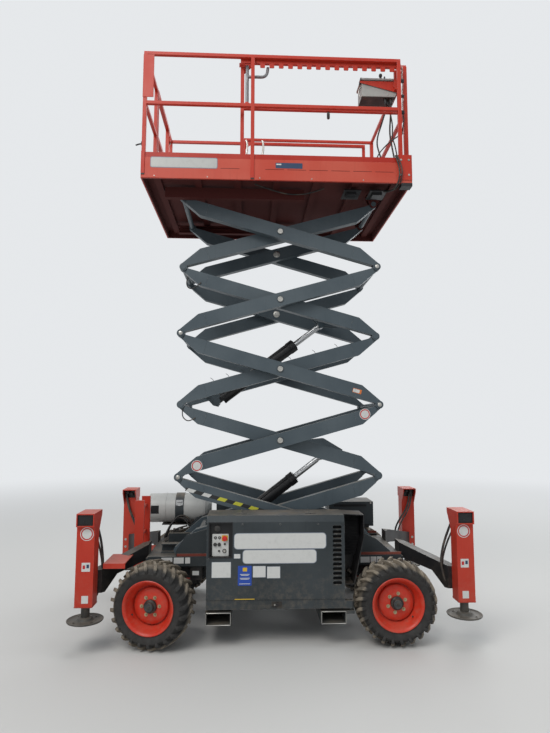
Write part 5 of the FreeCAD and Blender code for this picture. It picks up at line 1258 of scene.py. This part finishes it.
def arm_signs():
    for index, (x, z) in enumerate(((-0.704, 1.418), (0.813, 1.879))):
        ringed_sign("arm_sign_%d" % index, arm_body(2, "outer"), frame_at((x, -OUTER_FACE, z), NEAR), 0.05)
    face = arm_face(3, "outer", -1, OUTER_FACE)
    spot = face.inverted() @ Vector((0.745, -OUTER_FACE, 2.09))
    matrix = face @ Matrix.Translation((spot.x, spot.y, 0))
    plate("arm_label", arm_body(3, "outer"), matrix, 0.082, 0.04, AMBER, radius=0.003)
    plate("arm_label_sheet", arm_body(3, "outer"), matrix @ Matrix.Translation((-0.008, 0, PRINT)), 0.06,
        0.03, WHITE, radius=0.002)


def hazard_band():
    """Leaning white and yellow cells on a black ground along the lowest outer arm."""
    face = arm_face(1, "outer", -1, OUTER_FACE)
    middle = -0.015
    half = 0.0155
    left, right = -0.868, -0.125
    prism([(left, middle - half), (right, middle - half), (right, middle + half), (left, middle + half)],
        face, PRINT)
    made("hazard_ground", arm_body(1, "outer"), INK)
    for index in range(5):
        start = left + 0.004 + 0.1445 * index
        lean = 0.02
        corners = [(start, middle - half), (start + 0.07, middle - half),
            (start + 0.07 + lean, middle + half), (start + lean, middle + half)]
        prism(corners, face @ Matrix.Translation((0, 0, PRINT)), PRINT)
        tone = WHITE if index < 2 else YELLOW_GREEN
        made("hazard_cell_%d" % index, arm_body(1, "outer"), tone)


def arm_hoses():
    """Loops of thin line over two of the left joints."""
    loops = (
        ("loop_4", "arm_4_inner", ((-0.822, -0.346, 3.165), (-0.84, -0.352, 3.11), (-0.82, -0.35, 3.05),
            (-0.76, -0.346, 3.05), (-0.7, -0.346, 3.11)), 0.01),
        ("loop_2", "arm_2_inner", ((-0.85, -0.346, 1.922), (-0.857, -0.352, 1.862), (-0.812, -0.35, 1.815),
            (-0.768, -0.346, 1.822), (-0.732, -0.346, 1.846)), 0.01),
    )
    for name, body, points, diameter in loops:
        hose("arm_hose_" + name, body, points, diameter)


def cable_ties():
    """Tie tails that stand above the third inner arm, and the lines they hold."""
    face = arm_face(3, "inner", -1, INNER_FACE)
    for along in (-0.62, -0.47, -0.32, -0.1, 0.14, 0.38, 0.6):
        foot = face @ Vector((along, TUBE_HALF, -0.09))
        tip = face @ Vector((along - 0.022, TUBE_HALF + 0.044, -0.086))
        tube([foot, (foot + tip) / 2 + Vector((0.004, -0.002, 0.004)), tip], 0.0022, 6)
        block(foot - Vector((0.006, 0.01, 0.022)), foot + Vector((0.006, 0.01, 0.006)))
    made("cable_ties", arm_body(3, "inner"), GRIP)
    for index, (height, diameter) in enumerate(((0.046, 0.014), (0.028, 0.012), (0.012, 0.01))):
        points = [face @ Vector((along, height + lift, INNER_BACK - INNER_FACE - diameter / 2 - 0.0005))
            for along, lift in ((-0.7, 0.0005), (-0.35, 0.0012), (0.0, 0.0005), (0.35, 0.0015),
            (0.7, 0.0005))]
        hose("arm_line_%d" % index, arm_body(3, "inner"), points, diameter)


def cylinder_details():
    for number in (1, 2):
        foot = Vector(joint("lift_cylinder_%d_foot" % number)["pos_m"])
        direction = CYLINDER_AXIS
        up = Vector((-direction.z, 0, direction.x))
        length = (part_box("lift_barrel_%d" % number)[1].x - foot.x) / direction.x - 0.042
        body = "lift_barrel_%d" % number
        for share, radius in ((0.075, 0.0605), (0.86, 0.06)):
            matrix = frame_at(foot + direction * length * share, direction)
            turned([(0.0565, 0), (radius, 0.002), (radius, 0.01), (0.0565, 0.012)], matrix, 40)
        for side in (-1, 1):
            route = [foot + direction * (0.1 + (length - 0.16) * t) + Vector((0, side * 0.046, 0)) + up
                * (0.04 + 0.004 * sin(t * 6)) for t in (0, 0.2, 0.5, 0.8, 1.0)]
            tube(smooth_path(route, 3), 0.0065, 10)
        made("cylinder_lines_%d" % number, body, BLACK)
        port = foot + direction * (length - 0.055)
        fitting(port + Vector((0, -0.054, 0)), (0, -1, 0), 0.009)
        fitting(foot + direction * 0.11 + Vector((0, 0.054, 0)), (0, 1, 0), 0.009)
        ring = frame_at(foot + direction * (length + 0.001), direction)
        turned([(0.0285, -0.004), (0.046, -0.004), (0.046, 0.0005), (0.0285, 0.0012)], ring, 40)
        made("cylinder_fittings_%d" % number, body, BLACK)
        block((-0.062, -0.026, -0.03), (0.062, 0.026, 0.03),
            Matrix.Translation(foot + direction * 0.2 + up * 0.084) @ frame_at((0, 0, 0), up, direction))
        made("cylinder_valve_%d" % number, body, BLACK, edge=0.003)


def lift_rods():
    """Turned chrome rods with their eyes, in place of the plain ones."""
    for number in (1, 2):
        rise = 2 * RISE * (number - 1)
        start = Vector((-0.318, 0, 0.8835 + rise))
        eye = Vector((0.47, 0, 1.481 + rise))
        direction = (eye - start).normalized()
        reach = (eye - start).length
        turned([(0, 0), (0.027, 0), (0.027, reach - 0.06), (0.0235, reach - 0.056), (0.0235, reach - 0.034),
            (0.027, reach - 0.03), (0.027, reach - 0.022), (0, reach - 0.022)], frame_at(start, direction),
            48)
        turned([(0.018, -0.03), (0.031, -0.03), (0.034, -0.027), (0.034, 0.027), (0.031, 0.03),
            (0.018, 0.03), (0.018, -0.03)], frame_at(eye, (0, 1, 0)), 40)
        node = "lift_rod_%d" % number
        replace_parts(made(node + "_turned", node, CHROME), node)


pins()
lift_rods()
tube_seams()
wear_pads()
arm_signs()
hazard_band()
arm_hoses()
cable_ties()
cylinder_details()


# Platform

EDGE_Z = 3.9235
BOARD_TOP = EDGE_Z + 0.239
BOARD_Y = 0.775
TOP_RAIL = EDGE_Z + 1.167
MID_RAIL = EDGE_Z + 0.7
DECK_X = 1.2
POST_X = -0.226
GATE_LOW_Y = -0.23
GATE_HIGH_Y = 0.55
ROLL_Y = 0.681
ROLL_X = -0.32
ROLL_MID = EDGE_Z + 0.726
TUBE = 0.033


def rail(low, high, size=TUBE):
    """Square tube between two points on one axis. A flat run is a hair thinner than a post."""
    half = size / 2 - (0 if abs(low[2] - high[2]) > 0.01 else 0.001)
    spans = [(min(a, b) - (0 if abs(a - b) > 0.01 else half),
        max(a, b) + (0 if abs(a - b) > 0.01 else half)) for a, b in zip(low, high)]
    block([s[0] for s in spans], [s[1] for s in spans])


def platform_rails():
    """Square tubes with rounded edges, the rack of teeth, post feet outside the toe boards and gate pins."""
    half = TUBE / 2
    edge_y = BOARD_Y - 0.01
    left = -DECK_X + 0.019
    right = DECK_X - 0.097
    for side in (-1, 1):
        y = side * edge_y
        for z in (TOP_RAIL, MID_RAIL):
            rail((left - half, y, z), (right + half, y, z))
        for x in (left, POST_X, right):
            rail((x, y, BOARD_TOP), (x, y, TOP_RAIL))
    for y in (GATE_LOW_Y, GATE_HIGH_Y):
        rail((left, y, BOARD_TOP), (left, y, TOP_RAIL + half))
    for z in (TOP_RAIL, MID_RAIL):
        rail((left, -edge_y, z), (left, GATE_LOW_Y, z))
        rail((left, GATE_HIGH_Y, z), (left, edge_y, z))
    block((-DECK_X, -edge_y - half - 0.005, EDGE_Z + 0.743),
        (-DECK_X + 0.096, -edge_y - half, EDGE_Z + 1.147))
    piece = made("rails_rounded", "platform", ORANGE, edge=0.005)
    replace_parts(piece, "platform_rails")
    start = POST_X + 0.045
    end = DECK_X - 0.11
    block((POST_X - 0.11, -0.75, TOP_RAIL - 0.048), (end + 0.04, -0.744, TOP_RAIL - 0.01))
    pitch = (end - start) / 15
    for index in range(15):
        middle = start + pitch * (index + 0.5)
        prism([(-0.022, 0), (0.022, 0), (0.022, -0.037), (0.017, -0.0425), (-0.017, -0.0425),
            (-0.022, -0.037)], frame_at((middle, -0.744, TOP_RAIL - 0.048), NEAR), 0.006)
    made("rack_of_teeth", "platform", ORANGE, edge=0.001)
    low_y = -BOARD_Y - 0.011
    for x, low_z in ((-DECK_X + 0.017, EDGE_Z + 0.04), (POST_X, EDGE_Z + 0.018)):
        block((x - half, low_y, low_z), (x + half, -BOARD_Y + 0.002, BOARD_TOP + 0.004))
    for x in (-DECK_X + 0.017, POST_X, right):
        block((x - half, BOARD_Y - 0.002, EDGE_Z + 0.03), (x + half, BOARD_Y + 0.011, BOARD_TOP + 0.004))
    made("post_feet", "platform", ORANGE, edge=0.003)
    block((POST_X - half + 0.001, low_y + 0.001, EDGE_Z + 0.008),
        (POST_X + half - 0.001, -BOARD_Y, EDGE_Z + 0.02))
    block((-DECK_X + 0.002, low_y + 0.001, EDGE_Z + 0.03), (-DECK_X + 0.032, -BOARD_Y, EDGE_Z + 0.042))
    made("post_caps", "platform", GRIP, edge=0.001)
    for low_z in (BOARD_TOP + 0.09, TOP_RAIL - 0.14):
        x = -DECK_X + 0.038 + 0.009
        y = GATE_HIGH_Y - 0.019 - 0.006
        turned([(0, -0.012), (0.005, -0.012), (0.005, 0.06), (0.0035, 0.062), (0, 0.062)],
            Matrix.Translation((x, y, low_z)), 14)
        block((x - 0.013, y - 0.005, low_z - 0.012), (x + 0.005, GATE_HIGH_Y, low_z - 0.001))
    made("gate_pins", "platform", STEEL)


def platform_board():
    """Folded lower half of the toe board, a broken dark strip of painted shadow along its seam, blank plates and
    corner bracket.
    """
    for side_word, side in SIDES:
        side_block(side, (-DECK_X + 0.003, BOARD_Y, EDGE_Z + 0.002),
            (DECK_X - 0.003, BOARD_Y + 0.004, EDGE_Z + 0.191))
        # The fold takes the lighter copy of the orange: painted light against the deck's band above.
        made("board_fold_" + side_word, "platform", LIT_BOARD_ORANGE, edge=0.0025)
        # Painted shadow: broken dark strips along the seam's groove.
        x = -0.505
        while x < 1.0:
            if abs(x + 0.06 - POST_X) > 0.1:
                side_block(side, (x, BOARD_Y + 0.0035, EDGE_Z + 0.0985),
                    (x + 0.165, BOARD_Y + 0.0046, EDGE_Z + 0.1025))
            x += 0.196
        made("board_seam_shadow_" + side_word, "platform", PAINTED_SEAM_SHADOW)
    face = -BOARD_Y - 0.004
    label("board_plate_edge", "platform", (-1.118, 4.019), (-0.532, 4.118), face, PLATE_EDGE, 0.016)
    label("board_plate", "platform", (-1.112, 4.025), (-0.538, 4.112), face - PRINT, SILVER, radius=0.012)
    label("board_tag", "platform", (-0.021, 4.036), (0.218, 4.087), face, NAVY, 0.003)
    label("board_tag_band", "platform", (-0.014, 4.066), (0.03, 4.078), face - PRINT, WHITE, radius=0.001)
    prism([(-0.062, -0.1), (-0.04, -0.117), (0.062, -0.117), (0.062, 0.117), (-0.062, 0.117)],
        frame_at((1.137, -BOARD_Y - 0.004, EDGE_Z + 0.146), NEAR), 0.006)
    block((1.193, -BOARD_Y - 0.01, EDGE_Z + 0.03), (1.199, -0.64, EDGE_Z + 0.262))
    made("corner_bracket", "platform", ORANGE, edge=0.001)
    for z in (EDGE_Z + 0.075, EDGE_Z + 0.215):
        for x in (1.1, 1.17):
            bolt((x, -BOARD_Y - 0.01, z), NEAR, 0.01, z)
    for side in (-1, 1):
        for x in (-1.08, -0.62, -0.16, 0.3, 0.76):
            turned([(0, 0), (0.006, 0), (0.0045, 0.003), (0, 0.0036)],
                frame_at((x, side * (BOARD_Y + 0.004), EDGE_Z + 0.02), (0, side, 0)), 12)
    made("board_bolts", "platform", STEEL)
    block((1.1, -0.785, 3.895), (1.199, -0.7, 3.925))
    made("corner_foot", "platform", BLACK, edge=0.002)


def under_platform():
    """Cables under the platform and over its near board, and junction plates on its underside."""
    routes = (
        ("arc", ((-0.205, -0.574, 3.982), (-0.02, -0.56, 3.92), (0.16, -0.52, 3.905), (0.33, -0.515, 3.93),
            (0.444, -0.511, 3.982)), 0.012),
        ("over_board", ((1.049, -0.79, 4.176), (1.082, -0.802, 4.08), (1.078, -0.802, 3.94),
            (1.05, -0.74, 3.885), (1.0, -0.61, 3.905), (0.955, -0.5, 3.985)), 0.014),
        ("over_board_2", ((1.064, -0.794, 4.176), (1.104, -0.808, 4.07), (1.1, -0.804, 3.95),
            (1.08, -0.74, 3.905), (1.05, -0.61, 3.915), (1.02, -0.5, 3.985)), 0.011),
    )
    for name, points, diameter in routes:
        hose("platform_cable_" + name, "platform", points, diameter)
    for x in (0.62, 0.86):
        block((x, -0.6, 3.926), (x + 0.16, -0.4, 3.938))
        block((x + 0.03, -0.56, 3.905), (x + 0.12, -0.47, 3.927))
    made("junction_plates", "platform", BLACK, edge=0.002)


def roll_out_rails():
    """Rails of the roll-out deck as rounded tubes; the top rail runs level with the platform's."""
    half = TUBE / 2
    right = DECK_X - 0.019
    top = TOP_RAIL + 0.003
    for side in (-1, 1):
        y = side * ROLL_Y
        rail((ROLL_X - half, y, ROLL_MID), (right + half, y, ROLL_MID))
        rail((ROLL_X - half, y, top), (right + half, y, top), 0.03)
        for x, low, size in ((ROLL_X, BOARD_TOP - 0.02, TUBE), (right, BOARD_TOP, 0.037)):
            rail((x, y, low), (x, y, TOP_RAIL), size)
    rail((right, -ROLL_Y, ROLL_MID), (right, ROLL_Y, ROLL_MID))
    rail((right, -ROLL_Y, top), (right, ROLL_Y, top), 0.03)
    for side in (-1, 1):
        prism([(0, 0), (0.1, 0), (0.0, -0.1)], frame_at((ROLL_X + half, side * (ROLL_Y + 0.004),
            TOP_RAIL - half), NEAR), 0.005)
    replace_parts(made("roll_rails_rounded", "roll_out_platform", ORANGE, edge=0.005), "roll_out_rails")
    x, y = -0.277, -0.7
    tube([(x, y, 4.69), (x, y, 5.045)], 0.0155, 16)
    route = smooth_path([(x, y, 4.94), (-0.2, y, 4.942), (-0.13, y, 4.946), (-0.098, y, 4.975),
        (-0.088, y, 5.035)], 6)
    tube(route, 0.0135, 16)
    made("latch_handle", "roll_out_platform", PIPE)
    turned([(0, 0), (0.022, 0), (0.022, 0.03), (0.016, 0.038), (0, 0.038)],
        Matrix.Translation((x, y, 4.655)), 20)
    block((-0.35, -0.7065, 5.03), (-0.3, -0.7, 5.072))
    made("latch_foot", "roll_out_platform", ORANGE, edge=0.002)
    for x in (-0.279, -0.135):
        route = smooth_path([(x - 0.006, -0.708, 4.325), (x + 0.004, -0.712, 4.3),
            (x + 0.006, -0.712, 4.24), (x - 0.002, -0.712, 4.19), (x - 0.018, -0.706, 4.168)], 5)
        tube(route, 0.0095, 12)
    made("bent_hooks", "roll_out_platform", STEEL)
    turned([(0, 0), (0.012, 0), (0.014, 0.01), (0.014, 0.045), (0.01, 0.06), (0, 0.064)],
        Matrix.Translation((0.467, -0.681, ROLL_MID - 0.08)), 18)
    made("rail_knob", "roll_out_platform", GRIP)


def chain():
    """Short chain that hangs between the two right-hand posts on the near side."""
    x, y = 1.143, -0.738
    count = 22
    for index in range(count):
        z = 5.055 - 0.0195 * index
        sway = 0.003 * sin(index * 0.9)
        turn = Matrix.Rotation(radians(90 * (index % 2) + 20), 4, "Z")
        link = [Vector((0.0055 * cos(a), 0, (0.0068 if sin(a) > 0 else -0.0068) + 0.0055 * sin(a)))
            for a in (2 * pi * i / 12 for i in range(12))]
        path = [Matrix.Translation((x + sway, y, z)) @ turn @ v for v in link]
        loop(path, 0.0021)
    made("chain", "platform", STEEL)
    for z, height in ((4.905, 0.03), (4.76, 0.022), (4.6, 0.03)):
        block((x - 0.014, y - 0.01, z), (x + 0.014, y + 0.01, z + height))
    route = smooth_path([(x, y, 4.6), (x + 0.006, y, 4.54), (x - 0.004, y, 4.47), (x - 0.014, y, 4.4)], 5)
    tube(route, 0.006, 8)
    made("chain_snaps", "platform", BLACK, edge=0.002)


def gate_details():
    """Strike plate on the entry gate and the short lever on the post beside it."""
    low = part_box("entry_gate")[0]
    block((low.x - 0.006, low.y + 0.004, 4.66), (low.x, low.y + 0.06, 4.72))
    made("gate_strike", "entry_gate", BLACK, edge=0.001)
    tube([(-1.19, -0.766, 4.242), (-1.222, -0.766, 4.236), (-1.252, -0.766, 4.225)], 0.0065, 10)
    block((-1.2035, -0.778, 4.226), (-1.197, -0.752, 4.256))
    made("gate_lever", "platform", BLACK, edge=0.001)


def control_console():
    """Grey case in an orange wedge bracket, with its top plate, joystick, switches and wire bail."""
    near, far = -0.655, -0.465
    top = 4.988
    stick = (0.97, -0.632, top)
    corners = [(0.786, 4.816), (1.1, 4.816), (1.118, 4.866), (1.118, 4.966), (0.79, 4.966)]
    prism(corners, frame_at((0, near, 0), NEAR) @ Matrix.Translation((0, 0, near - far)), far - near)
    piece = made("console_case", "roll_out_platform", CASE_GREY, edge=0.004)
    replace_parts(piece, "control_box")
    prism(rounded(0.35, 0.222, 0.012), Matrix.Translation((0.95, (near + far) / 2, 4.972)), 0.016)
    made("console_top", "roll_out_platform", TOP_GREY, edge=0.003)
    block((0.772, near - 0.013, 4.964), (0.786, near + 0.06, 4.99))
    block((1.046, near - 0.013, 4.97), (1.056, far + 0.013, 4.991))
    block((0.785, near + 0.003, 4.812), (1.098, far - 0.003, 4.817))
    block((0.79, near - 0.0045, 4.948), (1.116, near + 0.001, 4.966))
    knob(stick, (0, 0, 1), 0.022, 0.008)
    turned([(0.02, 0.006), (0.018, 0.011), (0.019, 0.014), (0.014, 0.018), (0.015, 0.021), (0.009, 0.025),
        (0.007, 0.029), (0.007, 0.034), (0.014, 0.038), (0.0165, 0.05), (0.014, 0.064), (0, 0.069)],
        Matrix.Translation(stick), 24)
    knob((1.005, -0.64, top), (0, 0, 1), 0.008, 0.036, 0.002)
    for x, y in ((0.88, -0.52), (0.92, -0.52), (0.85, -0.6), (1.08, -0.54)):
        knob((x, y, top), (0, 0, 1), 0.008, 0.014, 0.003)
    made("console_controls", "roll_out_platform", GRIP, edge=0.0008)
    knob((0.83, -0.54, top), (0, 0, 1), 0.018, 0.02)
    made("console_stop_button", "roll_out_platform", SIGNAL_RED)
    for y, start, foot in ((near - 0.01, 0.766, 4.944), (far + 0.006, 0.83, 4.928)):
        wedge = [(start, 4.962), (start, foot), (1.124, 4.852), (1.124, 4.962)]
        prism(wedge, frame_at((0, y + 0.004, 0), NEAR), 0.004)
    block((1.119, near - 0.01, 4.852), (1.124, far + 0.01, 4.962))
    block((1.08, near - 0.026, 4.9), (1.118, near - 0.006, 4.95))
    block((1.085, -0.69, 4.87), (1.115, near - 0.006, 5.06))
    made("console_bracket", "roll_out_platform", ORANGE, edge=0.0012)
    route = smooth_path([(0.788, -0.62, 4.93), (0.768, -0.62, 4.905), (0.764, -0.62, 4.87),
        (0.774, -0.62, 4.835), (0.786, -0.62, 4.826)], 5)
    tube(route, 0.004, 10)
    for x in (0.83, 1.03):
        for z in (4.835, 4.925 if x < 1 else 4.84):
            turned([(0, 0), (0.005, 0), (0.004, 0.002), (0, 0.0025)], frame_at((x, near, z), NEAR), 12)
    made("console_bail_and_screws", "roll_out_platform", STEEL)
    for x, y in ((1.01, -0.62), (1.036, -0.6), (1.062, -0.62), (1.048, -0.56)):
        fitting((x, y, 4.816), (0.1, 0, -1), 0.011)
    made("console_glands", "roll_out_platform", GRIP)


def console_cables():
    routes = (
        ("a", ((1.045, -0.6, 4.8), (0.995, -0.59, 4.62), (0.93, -0.58, 4.43), (0.945, -0.61, 4.29),
            (0.975, -0.672, 4.13)), 0.014),
        ("b", ((1.07, -0.62, 4.8), (1.06, -0.62, 4.64), (1.045, -0.625, 4.48), (1.06, -0.64, 4.34),
            (1.085, -0.672, 4.13)), 0.015),
        ("c", ((1.055, -0.56, 4.8), (1.095, -0.57, 4.62), (1.075, -0.6, 4.45), (1.1, -0.64, 4.32),
            (1.11, -0.672, 4.13)), 0.012),
        ("d", ((1.158, -0.668, 4.455), (1.06, -0.66, 4.395), (0.97, -0.645, 4.31), (0.915, -0.65, 4.23),
            (0.89, -0.672, 4.13)), 0.011),
    )
    for name, points, diameter in routes:
        hose("console_cable_" + name, "roll_out_platform", points, diameter)


platform_rails()
platform_board()
under_platform()
roll_out_rails()
chain()
gate_details()
control_console()
console_cables()
